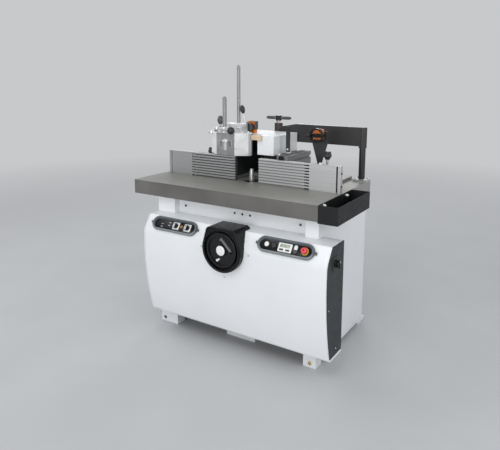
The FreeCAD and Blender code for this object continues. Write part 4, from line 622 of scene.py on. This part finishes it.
# Two copies of one casting material: the boss's copy has a much lighter front, a painted highlight
CASTING = bright_casting("bright_casting", (0.27, 0.275, 0.28), (0.38, 0.385, 0.39))
LIT_RIB = bright_casting("lit_rib", (0.6, 0.605, 0.61), (0.75, 0.755, 0.76))
STEEL = ground_bar("ground_steel", (0.60, 0.605, 0.61), (0.74, 0.745, 0.75), roughness=0.3, metallic=0.8)
ROD = ground_bar("satin_rod", (0.24, 0.24, 0.245), (0.31, 0.31, 0.315), roughness=0.4, metallic=0.35)
ZINC = screw_metal("zinc_screw", (0.55, 0.56, 0.57), (0.70, 0.71, 0.72), roughness=0.3, scale=240.0)
BRASS = screw_metal("brass_screw", (0.50, 0.37, 0.16), (0.62, 0.48, 0.24), roughness=0.35, scale=200.0)
RUBBER = belt_rubber()
WOOD = beech_wood()
GLASS = display_glass()

# CAD pieces have the material of their slot, apart from those named below
BY_SLOT = {
    "white_paint": WHITE,
    "table_iron": IRON,
    "anthracite_paint": ANTHRACITE,
    "black_paint": BLACK_COAT,
    "cast_grey": CAST_PAINT,
    "black_plastic": BLACK,
    "panel_grey": MID_GREY,
    "white_plastic": PALE,
    "red_plastic": RED,
    "orange_plastic": ORANGE,
    "aluminium": ALUMINIUM,
    "bright_steel": STEEL,
    "belt_rubber": RUBBER,
}
# Height of the white lip under the right end cap
CAP_LIP = 13.0


def dress(node, material):
    """Give a CAD piece its material."""
    for slot in frame["nodes"][node].material_slots:
        slot.material = material


for entry in frame["record"]["subparts"]:
    dress(entry["node"], BY_SLOT[entry["material_slot"]])
dress("front_cover", COVER_WHITE)
dress("tray", TRAY_COAT)
dress("handwheel_shroud", shroud_plastic())
dress("hood_casting", CASTING)
dress("crank_handle", MID_GREY)
dress("arm", arm_coat())
dress("right_slide", SLIDE_ALUMINIUM)
dress("fence_bed", BED_ALUMINIUM)
dress("left_fence_plate", SHADED_LEFT_PLATE)
dress("right_fence_plate", RIGHT_PLATE)
dress("left_fence_bars", SHADED_LEFT_BAR)
dress("right_fence_bars", SHADED_RIGHT_BAR)
dress("jog_button", INLAY)
dress("left_end_cap", capped("left_end_cap", LEFT))
CAP_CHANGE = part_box("right_end_cap")[0] + UP * CAP_LIP * MM
LIPPED = powder_coat("lipped_cap", *ANTHRACITE_TONES, roughness=0.5, specular=0.35, lip=CAP_CHANGE)
dress("right_end_cap", LIPPED)
dress("short_rod", ROD)
dress("long_rod", ROD)

BLACK_TIP = (0.02, 0.021, 0.022)
GREY_TIP = (0.07, 0.072, 0.075)
KNOB_TIP = (0.03, 0.032, 0.034)
KNOB_HEIGHT = 36.0
# Pieces with a bare foot and a dark end: the end's direction, a place on the change, the end's colour
DARK_ENDS = (
    ("rod_lever", RIGHT, (-103, 0, 0), BLACK_TIP),
    ("clamp_lever", UP, (0, 0, 1258), BLACK_TIP),
    ("casting_knob", UP, (0, 0, 1186), GREY_TIP),
    ("arm_post", UP, (0, 0, 882.5), BLACK_TIP),
)


def dark_ends():
    """Two-coloured levers, knobs and post."""
    for node, direction, place, colour in DARK_ENDS:
        dress(node, tipped(node, direction, at(*place), colour))
    for _, side in SIDES:
        node = f"{side}_clamp_knob"
        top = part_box(node)[1]
        dress(node, tipped(node, UP, top - UP * KNOB_HEIGHT * MM, KNOB_TIP))


dark_ends()

# Control panels: plates and displays on the sloping face

JOINTS = {joint["name"]: joint for joint in frame["joints"]}
SLOPE_OUT = Vector(JOINTS["selector_a_turn"]["axis"]).normalized()
SLOPE_UP = SLOPE_OUT.cross(RIGHT).normalized()
PANEL_LENGTH, PANEL_HEIGHT = 312, 80
PANEL_HALF_THICKNESS = 7.0
PANEL_FLOOR = 8.0
INLAY_LENGTH, INLAY_HEIGHT = 291.4, 59.4
CORNER_STEPS = 16
# Places along the panels, from their middles to the right
SELECTOR_PLACES = (("selector_a", 12), ("selector_b", 92))
LAMP_X = 52
COLLAR_PLACES = (("start", -103), ("jog", -62))
DUAL_X = 58
STOP_X = 106
# How far below the double button's middle its colour changes
DUAL_SPLIT = 2


def panel_place(node):
    """Frame on the middle of a panel's underside: x to the right, y up the slope, z out of it."""
    low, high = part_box(node)
    return axes_at((low + high) / 2 - SLOPE_OUT * PANEL_HALF_THICKNESS * MM, SLOPE_OUT, RIGHT)


LEFT_PANEL = panel_place("left_control_panel")
RIGHT_PANEL = panel_place("right_control_panel")
PANELS = (("left", LEFT_PANEL), ("right", RIGHT_PANEL))
BEZEL = bezel_plastic(SLOPE_UP, LEFT_PANEL.translation)
dress("left_control_panel", BEZEL)
dress("right_control_panel", BEZEL)


def on_panel(panel, x, y=0.0):
    """Frame on a panel, away from its middle."""
    return panel @ Matrix.Translation((x, y, 0))


def panel_inlays():
    """Dark sheets on the panels' floors."""
    edge = oblong(INLAY_LENGTH, INLAY_HEIGHT, INLAY_HEIGHT / 2, CORNER_STEPS)
    for side, panel in PANELS:
        form = plate(edge, PANEL_FLOOR, PANEL_FLOOR + 0.12, 0.05)
        keep(f"{side}_panel_inlay", form, panel, INLAY, "cabinet")


# Inset from the panel's outline, height, and shift down the slope
BEZEL_STEPS = (
    (0.4, 13.9, 0),
    (1.6, 16.4, 0),
    (5.0, 17.6, 0),
    (9.6, 17.2, 0),
    (14.2, 8.3, 2),
    (10.2, 8.3, 0),
    (10.2, 13.9, 0),
)


def bezels():
    """Raised mouldings on the panels' rims, whose flanks run down to the inlays."""
    for side, panel in PANELS:
        rings = []
        for inset, height, shift in BEZEL_STEPS:
            length = PANEL_LENGTH - 2 * inset
            width = PANEL_HEIGHT - 2 * inset
            points = oblong(length, width, PANEL_HEIGHT / 2 - inset, CORNER_STEPS)
            rings.append([(x, y - shift, height) for x, y in points])
        keep(f"{side}_bezel", framed(rings), panel, BEZEL, "cabinet")


def panel_lugs():
    """Clips at both ends of each bezel."""
    for side, panel in PANELS:
        for end, name in SIDES:
            lug = block((-8, -7, 0.1), (8, 7, 12), 2.6)
            keep(f"{side}_panel_{name}_lug", lug, on_panel(panel, end * 160), BEZEL, "cabinet")


def selector_details():
    """White plates behind the selectors, and a grip bar with a mark across each knob."""
    for label, x in SELECTOR_PLACES:
        place = on_panel(LEFT_PANEL, x)
        backing = plate(oblong(45, 43, 3, 4), PANEL_FLOOR, PANEL_FLOOR + 0.26, 0.08)
        keep(f"{label}_plate", backing, place, PALE, "cabinet")
        grip = block((-6, -13.5, 27.5), (6, 13.5, 33), 2.2)
        keep(f"{label}_grip", grip, place, PALE_GREY, label)
        mark = block((-1.6, 2, 32.8), (1.6, 11, 33.3), 0.2)
        keep(f"{label}_mark", mark, place, BLACK, label)


def amber_lamp():
    """Indicator lamp between the selectors."""
    dome = [(8.5, PANEL_FLOOR), (8.5, 10.5), (7, 11), (6.8, 13), (5.2, 15.4), (2.8, 16.6), (0, 17)]
    keep("amber_lamp", turned(dome, 28), on_panel(LEFT_PANEL, LAMP_X), AMBER, "cabinet")


def printed_marks():
    """Plain grey dashes beside the selectors."""
    form = bmesh.new()
    for x, y in ((-87, -1), (-87, -17), (-37, 12), (-37, -4)):
        add_block(form, (x - 8, y - 2, PANEL_FLOOR), (x + 8, y + 2, PANEL_FLOOR + 0.25), 0.1)
    keep("left_panel_marks", form, LEFT_PANEL, PALE_GREY, "cabinet")


def display():
    """Digital height display with its window and two keys."""
    middle = on_panel(RIGHT_PANEL, 0, -2)
    housing = plate(oblong(74, 45, 4, 5), PANEL_FLOOR, 13, 1.2)
    keep("display_housing", housing, middle, PALE, "cabinet")
    window = plate(oblong(56, 17, 2, 4), 12.9, 13.3, 0.2)
    keep("display_window", window, middle @ Matrix.Translation((0, 8.5, 0)), GLASS, "cabinet")
    keys = bmesh.new()
    for x in (-17, 17):
        add_block(keys, (x - 11, -16, 12.8), (x + 11, -7, 14.6), 1.2)
    keep("display_keys", keys, middle, DARK_GREY, "cabinet")


def button_rings():
    """Thin collars round the two push buttons, and the emergency stop's yellow ring and black mark."""
    for name, x in COLLAR_PLACES:
        collar = turned([(12.5, PANEL_FLOOR), (15.5, PANEL_FLOOR), (15.5, 9.4), (14.8, 10), (12.5, 10)], 40)
        keep(f"{name}_collar", collar, on_panel(RIGHT_PANEL, x), BLACK, "cabinet")
    ring = turned([(11.5, PANEL_FLOOR), (18.8, PANEL_FLOOR), (18.8, 8.8), (18.2, 9.4), (11.5, 9.4)], 56)
    place = on_panel(RIGHT_PANEL, STOP_X)
    keep("stop_ring", ring, place, YELLOW, "cabinet")
    mark = turned([(4.2, 29.9), (4.2, 30.2), (3.8, 30.4), (0, 30.4)], 24)
    keep("stop_mark", mark, place, BLACK, "emergency_stop")


def dual_collar():
    """Dark collar with an oval opening over the double button."""
    outer = oblong(27, 47, 11, 8)
    oval = oblong(19.4, 41.4, 9.7, 8)
    inside = oblong(21.2, 43.2, 1, 8)
    shoulder = oblong(25.6, 45.6, 10.4, 8)
    outside = ((outer, 8.2), (outer, 13.5), (shoulder, 14.3))
    opening = ((oval, 14.3), (oval, 13.2), (inside, 13.2), (inside, 8.2))
    place = on_panel(RIGHT_PANEL, DUAL_X)
    keep("dual_collar", stepped(outside + opening), place, INLAY, "cabinet")


def dual_button_colours():
    """Grey lower and white upper half of the double button."""
    middle = on_panel(RIGHT_PANEL, DUAL_X).translation
    split = middle - SLOPE_UP * DUAL_SPLIT * MM
    grey, white = (0.065, 0.067, 0.07), (0.8, 0.8, 0.79)
    dress("dual_button", two_halves("dual_button", SLOPE_UP, split, grey, white, 0.32))


panel_inlays()
bezels()
panel_lugs()
selector_details()
amber_lamp()
printed_marks()
display()
button_rings()
dual_collar()
dual_button_colours()

# Handwheel and its shroud

WHEEL_X, WHEEL_Z = 117.0, 592.0


def hub_cap():
    """Bare domed cap in a dark ring on the wheel's hub."""
    place = axes_at(at(WHEEL_X, -484.5, WHEEL_Z), FRONT)
    cap = [(26.5, 0), (26.5, 1.6), (25.4, 2.6), (17, 3.8), (8, 4.4), (0, 4.6)]
    keep("hub_cap", turned(cap, 56), place, PALE, "handwheel")
    ring = [(26.6, 0), (30, 0), (30, 1.4), (29, 2.4), (27.4, 2.4), (26.6, 1.6)]
    keep("hub_ring", turned(ring, 56), place, BLACK, "handwheel")


def wheel_lock():
    """Small pale lock lever low on the wheel's left."""
    place = axes_at(at(WHEEL_X - 27, -471, WHEEL_Z - 58), FRONT, Vector((0.82, 0, 0.57)))
    lever = bmesh.new()
    add_block(lever, (-4, -4.5, 0), (17, 4.5, 6), 2.2)
    add_turned(lever, [(7, 0), (7, 7), (6, 8.5), (0, 9)], 28)
    keep("wheel_lock", lever, place, PALE, "handwheel")


hub_cap()
wheel_lock()

# Fasteners of the cabinet

# The cover's front is an arc between two places, each given as y and z
COVER_TOP_OF_ARC = (-447.0, 612.0)
COVER_FOOT_OF_ARC = (-394.0, 109.0)
COVER_RADIUS = 1465.0
# Faces that carry fasteners
CAP_FACE = 700
BEAM_FRONT = -280
FOOT_FRONT = -320
TRAY_WALL = 603
REAR_FACE = 325
SWITCH_HOLE_RADIUS = 19.8


def cover_face(z):
    """Front of the curved cover at a height, as y and the outward direction."""
    top = Vector(COVER_TOP_OF_ARC)
    foot = Vector(COVER_FOOT_OF_ARC)
    chord = foot - top
    inward = Vector((-chord.y, chord.x)).normalized()
    centre = top + chord / 2 + inward * math.sqrt(COVER_RADIUS ** 2 - (chord.length / 2) ** 2)
    rise = z - centre.y
    y = centre.x - math.sqrt(COVER_RADIUS ** 2 - rise ** 2)
    return y, Vector((0, y - centre.x, rise)).normalized()


def cover_and_cap_screws():
    """Screws of the front cover and of the right end cap."""
    for number, (x, z) in enumerate(((-33, 581), (266, 584), (116, 440)), start=1):
        y, out = cover_face(z)
        screw(f"cover_screw_{number}", x, y, z, out, 11, ZINC, "cabinet")
    for number, (y, z) in enumerate(((-430, 387), (-335, 157)), start=1):
        screw(f"cap_screw_{number}", CAP_FACE, y, z, RIGHT, 7, ZINC, "cabinet")


def beam_fasteners():
    """A bolt near each end of the beam and three plugs between them."""
    for number, x in enumerate((-275, 470), start=1):
        screw(f"beam_bolt_{number}", x, BEAM_FRONT, 735, FRONT, 14, MID_GREY, "cabinet")
    for number, x in enumerate((67, 117, 167), start=1):
        plug = turned([(6.5, 0), (6.5, 0.8), (5.6, 1.3), (0, 1.3)], 28)
        place = axes_at(at(x, BEAM_FRONT, 739), FRONT)
        keep(f"beam_plug_{number}", plug, place, BLACK, "cabinet")


def foot_bolts():
    """Bolts on the fronts of the feet and one on the left foot's side."""
    screw("left_foot_bolt", -420, FOOT_FRONT, 24, FRONT, 20, MID_GREY, "cabinet", height=5)
    screw("left_level_bolt", -450, -311, 48, LEFT, 18, BRASS, "cabinet", height=13)
    screw("right_foot_bolt", 556, FOOT_FRONT, 24, FRONT, 20, BRASS, "cabinet", height=5)


def tray_bolts():
    """Pale bolts inside the tray; their white colour is a painted highlight on shiny heads."""
    for number, (y, z) in enumerate(((-302, 859), (-18, 855)), start=1):
        # Painted highlight: the white plastic colour stands for the shine of the heads
        screw(f"tray_bolt_{number}", TRAY_WALL, y, z, RIGHT, 14, PALE, "cabinet", height=15)


def rear_screws():
    """Two columns of screws on the rear panel."""
    for row, z in enumerate((80, 400, 720), start=1):
        for column, x in enumerate((-425, 565), start=1):
            screw(f"rear_screw_{column}_{row}", x, REAR_FACE, z, REAR, 11, ZINC, "cabinet")


def main_switch_details():
    """Rounded escutcheon with a round hole, and the marked lever across the switch."""
    place = axes_at(at(CAP_FACE, -366, 603), RIGHT, REAR)
    outer = oblong(72, 74, 26, 8)
    shoulder = oblong(70, 72, 25, 8)
    hole = [SWITCH_HOLE_RADIUS * Vector(point).normalized() for point in outer]
    steps = ((outer, 0), (outer, 2.2), (shoulder, 3.4), (hole, 3.4), (hole, 0))
    keep("switch_plate", stepped(steps), place, INLAY, "cabinet")
    lever = block((-6, -20, 14), (6, 20, 26), 4)
    keep("switch_lever", lever, place, BLACK, "main_switch")
    mark = block((-1.6, 6, 25.8), (1.6, 18, 26.4), 0.25)
    keep("switch_mark", mark, place, PALE, "main_switch")


cover_and_cap_screws()
beam_fasteners()
foot_bolts()
tray_bolts()
rear_screws()
main_switch_details()

# Fence unit

CASTING_FRONT, CASTING_TOP = -80, 1150
BOSS_FLATNESS = 0.7
# Heights of the strips in the fence plates
STRIP_LOW, STRIP_HIGH = 873, 1012
# Grip of the left adjusting wheel, ribbed outside a radius
GRIP_SEGMENTS = 48
RIBBED_FROM = 23
RIB_ROOT = 0.95
# Foot of the post and reach of its bolts
POST_X, POST_Y = 560, 318
POST_FOOT_TOP = 882
POST_BOLT_REACH = 29
# Top of the arm under the T-handle and height of the handle's bar
ARM_TOP = 1185.4
HANDLE_BAR = 1216.3


def casting_boss():
    """Round boss with a collar and a domed top, half sunk in the casting's front face."""
    place = axes_at(at(-132, -79, 0), UP, RIGHT)
    shank = [(0, 1046), (10, 1046), (12, 1048.5), (12, 1092), (13, 1094)]
    collar = [(21, 1096), (22, 1098), (22, 1106), (20, 1108), (15, 1110), (8, 1114), (0, 1116)]
    form = turned(shank + collar, 48)
    for vert in form.verts:
        vert.co.y *= BOSS_FLATNESS
    keep("casting_boss", form, place, LIT_RIB, "fence")


def casting_pockets():
    """A framed pocket on each side of the boss, with a floor of darker aluminium as painted shade."""
    for name, x, z, width, height in (("left", -162, 1084, 22, 34), ("right", -101, 1086, 28, 40)):
        place = axes_at(at(x, CASTING_FRONT, z), FRONT, RIGHT)
        # Painted shade: the pocket floors are darker aluminium
        floor = plate(oblong(width - 4, height - 4, 3, 4), -0.5, 0.25, 0.1)
        keep(f"{name}_pocket_floor", floor, place, SLIDE_ALUMINIUM, "fence")
        outer = oblong(width, height, 5, 4)
        inner = oblong(width - 6, height - 6, 2, 4)
        steps = ((outer, -0.5), (outer, 1.6), (inner, 2.2), (inner, -0.5))
        keep(f"{name}_pocket_rim", stepped(steps), place, CASTING, "fence")


def casting_lugs():
    """Two flat round lugs at the casting's upper left."""
    for name, x, y, z, thick in (("upper", -232, -24, 1160, 16), ("lower", -262, -36, 1137, 18)):
        place = axes_at(at(x, y, z), UP, RIGHT)
        lug = [(0, 0), (22, 0), (24, 2), (24, thick - 5), (22, thick - 1.5), (16, thick), (0, thick)]
        keep(f"casting_lug_{name}", turned(lug, 40), place, STEEL, "fence")


def wood_block():
    """Small wood block to the right of the casting."""
    form = block((12, -29, 1111), (76, -5.4, 1139), 2)
    keep("wood_block", form, MACHINE, WOOD, "fence")


def hood_gap_plate():
    """Black plate on the hood's wing, seen between the casting and the hood; it is painted shade in that gap."""
    form = block((-70, 62.2, 1025), (41.8, 63.9, 1130), 0.4)
    keep("hood_gap_plate", form, MACHINE, BLACK, "fence")


def block_details():
    """Screws of the long rod's clamp block and of the casting's top."""
    for number, x in enumerate((-176, -82), start=1):
        screw(f"block_screw_{number}", x, -15, 1174, FRONT, 15, ZINC, "fence", height=8)
    for number, (x, y) in enumerate(((-200, -45), (-40, -40), (-28, 5)), start=1):
        screw(f"casting_screw_{number}", x, y, CASTING_TOP, UP, 14, ZINC, "fence", height=8)


def clamp_knob_wings(node):
    """Two wings on top of a bed clamp, with a notch between them."""
    low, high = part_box(node)
    middle = (low + high) / 2
    top = Vector((middle.x, middle.y, high.z))
    place = axes_at(top, UP, RIGHT)
    wings = bmesh.new()
    for x in (-10.5, 10.5):
        add_block(wings, (x - 8, -9, -14), (x + 8, 9, 9), 5)
    keep(f"{node}_wings", wings, place, INLAY, node)


def fence_details():
    """Screws of the right fence plate, and the knob, foot, bolt and clip on the right slide."""
    screw("fence_stud", 469, -58, 1014.5, UP, 16, ZINC, "right_fence_plate", height=9)
    for number, z in enumerate((905, 975), start=1):
        name = f"fence_end_screw_{number}"
        screw(name, 592, -60, z, RIGHT, 11, BLACK, "right_fence_plate")
    knob = [(0, -4), (6, -4), (6, 3), (14, 6), (15, 16), (12, 22), (0, 24)]
    place = axes_at(at(228, -46, 1026), FRONT)
    keep("slide_knob", turned(knob, 32), place, BLACK, "right_fence")
    foot = block((188, 52, 1035), (228, 78, 1046), 2.5)
    keep("hold_down_foot", foot, MACHINE, ZINC, "right_fence")
    screw("hold_down_bolt", 207, 58, 1060, FRONT, 16, ZINC, "right_fence", height=9)
    clip = block((196, -44, 1035), (214, -18, 1049), 3)
    keep("slide_clip", clip, MACHINE, ZINC, "right_fence")


def comb_backings():
    """Strips behind the open roots of the combs, pale left and black right, the black one painted shade in the
    slots; they slide with the plates.
    """
    pale = (ALUMINIUM, "aluminium")
    black = (BLACK, "black_plastic")
    # The black right strip is painted shade seen through the slots
    for side, left, right, (material, slot) in (("left", -394, -363, pale), ("right", 379, 413, black)):
        form = block((left, -45.6, STRIP_LOW), (right, -44.2, STRIP_HIGH), 0.4)
        keep(f"{side}_comb_backing", form, MACHINE, material, f"{side}_fence_plate")


def groove_shade_strip():
    """Black strip in the groove near the right plate's end, painted shade in the groove."""
    form = block((567.4, -68.6, STRIP_LOW), (576.1, -67.8, STRIP_HIGH), 0.2)
    keep("groove_shade_strip", form, MACHINE, BLACK, "right_fence_plate")


def left_adjuster_grip():
    """Ribbed collar in front of the left adjusting wheel."""
    place = axes_at(at(-78, 85, 1171), FRONT)
    profile = [(0, -3), (27, -3), (31, 0), (31, 14), (27, 17), (13, 18), (11, 16), (0, 16)]
    form = turned(profile, GRIP_SEGMENTS)
    for vert in form.verts:
        reach = math.hypot(vert.co.x, vert.co.y)
        segment = round(math.atan2(vert.co.y, vert.co.x) / (2 * math.pi / GRIP_SEGMENTS))
        if reach > RIBBED_FROM and segment % 2:
            vert.co.x *= RIB_ROOT
            vert.co.y *= RIB_ROOT
    keep("left_adjuster_grip", form, place, DARK_GREY, "left_adjuster")


def post_bolts():
    """Four bolts in the post's foot."""
    for side, column in SIDES:
        for end, row in ((-1, "front"), (1, "rear")):
            x = POST_X + POST_BOLT_REACH * side
            y = POST_Y + POST_BOLT_REACH * end
            name = f"post_bolt_{column}_{row}"
            screw(name, x, y, POST_FOOT_TOP, UP, 15, ZINC, "cabinet", height=8)


def lift_handle_details():
    """Nut, grips and cap of the T-handle."""
    place = axes_at(at(0, POST_Y, ARM_TOP), UP, RIGHT)
    collar = [(15.2, 0), (24, 0), (24, 3), (19, 4), (19, 13), (17.5, 14.5), (15.2, 14.5)]
    keep("lift_collar", turned(collar, 6), place, ZINC, "lift_handle")
    for end, name in SIDES:
        grip = [(6.1, 0), (9.6, 3), (10.4, 24), (9.8, 50), (7.8, 60), (4.4, 64), (0, 65)]
        start = axes_at(at(end * 24, POST_Y, HANDLE_BAR), RIGHT * end)
        keep(f"lift_grip_{name}", turned(grip, 32), start, DARK_GREY, "lift_handle")
    cap = [(15.2, 15), (20.5, 18), (20.5, 42), (17, 46), (0, 47)]
    keep("lift_hub_cap", turned(cap, 40), place, BLACK, "lift_handle")


def counters():
    """Bezel and bare reading window on each position counter, and the left one's dark side cover."""
    cover = block((-53.2, 111, 1155), (-45, 145, 1206), 3.5)
    keep("left_counter_side", cover, MACHINE, DARK_GREY, "fence")
    for name, x, y, top in (("left", -78, 112, 1205), ("right", 385, 75, 1184)):
        place = axes_at(at(x, y + 16, top), UP, RIGHT)
        bezel = plate(oblong(34, 20, 3, 4), 0, 2, 0.6)
        keep(f"{name}_counter_bezel", bezel, place, BLACK, "fence")
        window = plate(oblong(26, 11, 1.5, 4), 1.9, 2.3, 0.2)
        keep(f"{name}_counter_window", window, place, GLASS, "fence")


casting_boss()
casting_pockets()
casting_lugs()
wood_block()
hood_gap_plate()
block_details()
clamp_knob_wings("right_clamp_knob")
clamp_knob_wings("left_clamp_knob")
fence_details()
comb_backings()
groove_shade_strip()
left_adjuster_grip()
post_bolts()
lift_handle_details()
counters()

# Floor, light and camera

BACKGROUND = (0.57, 0.58, 0.595, 1.0)
FLOOR_RADIUS = 40
WORLD_LEVEL = 0.57
WORLD_LIGHT = (0.95, 0.97, 1.0, 1.0)
# Lamps: place in the machine frame, disk size in metres and power in watts
LAMPS = (
    ("key_light", (900, -6200, 1300), 2.5, 89),
    ("fill_light", (3600, -1000, 1900), 2.4, 32),
    ("left_light", (-2600, -300, 2300), 2.0, 16),
    ("top_light", (300, -2500, 3300), 2.4, 30),
    ("back_light", (-1500, 3200, 2600), 2.0, 24),
)
LAMP_TARGET = at(0, 0, 700)
# Camera: place in the machine frame, angles in degrees, lens and sensor in millimetres, shift in frame widths
CAMERA_PLACE = (1630.56, -2570.37, 1477.77)
CAMERA_YAW = 32.59
CAMERA_PITCH = 9.68
CAMERA_LENS = 37.65
CAMERA_SENSOR = 36.0
CAMERA_SHIFT = -0.12


def pale_floor():
    """Pale floor that keeps the shadow near the machine and fades into the background."""
    form = bmesh.new()
    bmesh.ops.create_circle(form, cap_ends=True, segments=96, radius=FLOOR_RADIUS)
    mesh = bpy.data.meshes.new("floor")
    form.to_mesh(mesh)
    form.free()
    floor = bpy.data.objects.new("floor", mesh)
    bpy.context.scene.collection.objects.link(floor)
    look = Look("pale_floor", roughness=0.7)
    look.colour(look.drift(2.0, (0.50, 0.51, 0.52), (0.53, 0.54, 0.55)))
    look.bump(look.noise(160.0), strength=0.05, distance=0.001)
    length = look.node("ShaderNodeVectorMath")
    length.operation = "LENGTH"
    look.link(look.place(), length.inputs[0])
    far = look.spread(length.outputs["Value"], 0, 1, start=1.6, end=7.0)
    glow = look.node("ShaderNodeEmission")
    glow.inputs["Color"].default_value = BACKGROUND
    blend = look.node("ShaderNodeMixShader")
    look.link(far, blend.inputs[0])
    look.link(look.shader.outputs["BSDF"], blend.inputs[1])
    look.link(glow.outputs["Emission"], blend.inputs[2])
    output = look.tree.nodes["Material Output"]
    look.link(blend.outputs["Shader"], output.inputs["Surface"])
    mesh.materials.append(look.material)


def pale_world():
    """Even light; the camera, reflections and glass see the pale background."""
    world = bpy.data.worlds.new("pale_world")
    bpy.context.scene.world = world
    world.use_nodes = True
    tree = world.node_tree
    seen = tree.nodes["Background"]
    seen.inputs["Color"].default_value = BACKGROUND
    lit = tree.nodes.new("ShaderNodeBackground")
    lit.inputs["Color"].default_value = WORLD_LIGHT
    lit.inputs["Strength"].default_value = WORLD_LEVEL
    rays = tree.nodes.new("ShaderNodeLightPath")
    shown = rays.outputs["Is Camera Ray"]
    for kind in ("Is Transmission Ray", "Is Glossy Ray"):
        either = tree.nodes.new("ShaderNodeMath")
        either.operation = "MAXIMUM"
        tree.links.new(shown, either.inputs[0])
        tree.links.new(rays.outputs[kind], either.inputs[1])
        shown = either.outputs["Value"]
    blend = tree.nodes.new("ShaderNodeMixShader")
    tree.links.new(shown, blend.inputs[0])
    tree.links.new(lit.outputs["Background"], blend.inputs[1])
    tree.links.new(seen.outputs["Background"], blend.inputs[2])
    tree.links.new(blend.outputs["Shader"], tree.nodes["World Output"].inputs["Surface"])


def soft_light(name, place, size, power):
    """Round area lamp that points at the machine."""
    lamp = bpy.data.lights.new(name, "AREA")
    lamp.shape = "DISK"
    lamp.size = size
    lamp.energy = power
    light = bpy.data.objects.new(name, lamp)
    light.location = place
    light.rotation_euler = (LAMP_TARGET - place).to_track_quat("-Z", "Y").to_euler()
    bpy.context.scene.collection.objects.link(light)


def photo_camera():
    """Camera at the photograph's place; its 500 x 450 frame is shifted down from the lens axis."""
    yaw = math.radians(CAMERA_YAW)
    pitch = math.radians(CAMERA_PITCH)
    forward = Vector((-math.sin(yaw) * math.cos(pitch), math.cos(yaw) * math.cos(pitch), -math.sin(pitch)))
    right = Vector((math.cos(yaw), math.sin(yaw), 0))
    upward = right.cross(forward)
    camera = bpy.data.cameras.new("camera")
    camera.sensor_fit = "HORIZONTAL"
    camera.sensor_width = CAMERA_SENSOR
    camera.lens = CAMERA_LENS
    camera.shift_y = CAMERA_SHIFT
    holder = bpy.data.objects.new("camera", camera)
    turn = Matrix((right, upward, -forward)).transposed().to_4x4()
    holder.matrix_world = Matrix.Translation(at(*CAMERA_PLACE)) @ turn
    bpy.context.scene.collection.objects.link(holder)
    bpy.context.scene.camera = holder


pale_floor()
pale_world()
for name, place, size, power in LAMPS:
    soft_light(name, at(*place), size, power)
photo_camera()
bpy.context.scene.view_settings.view_transform = "Standard"
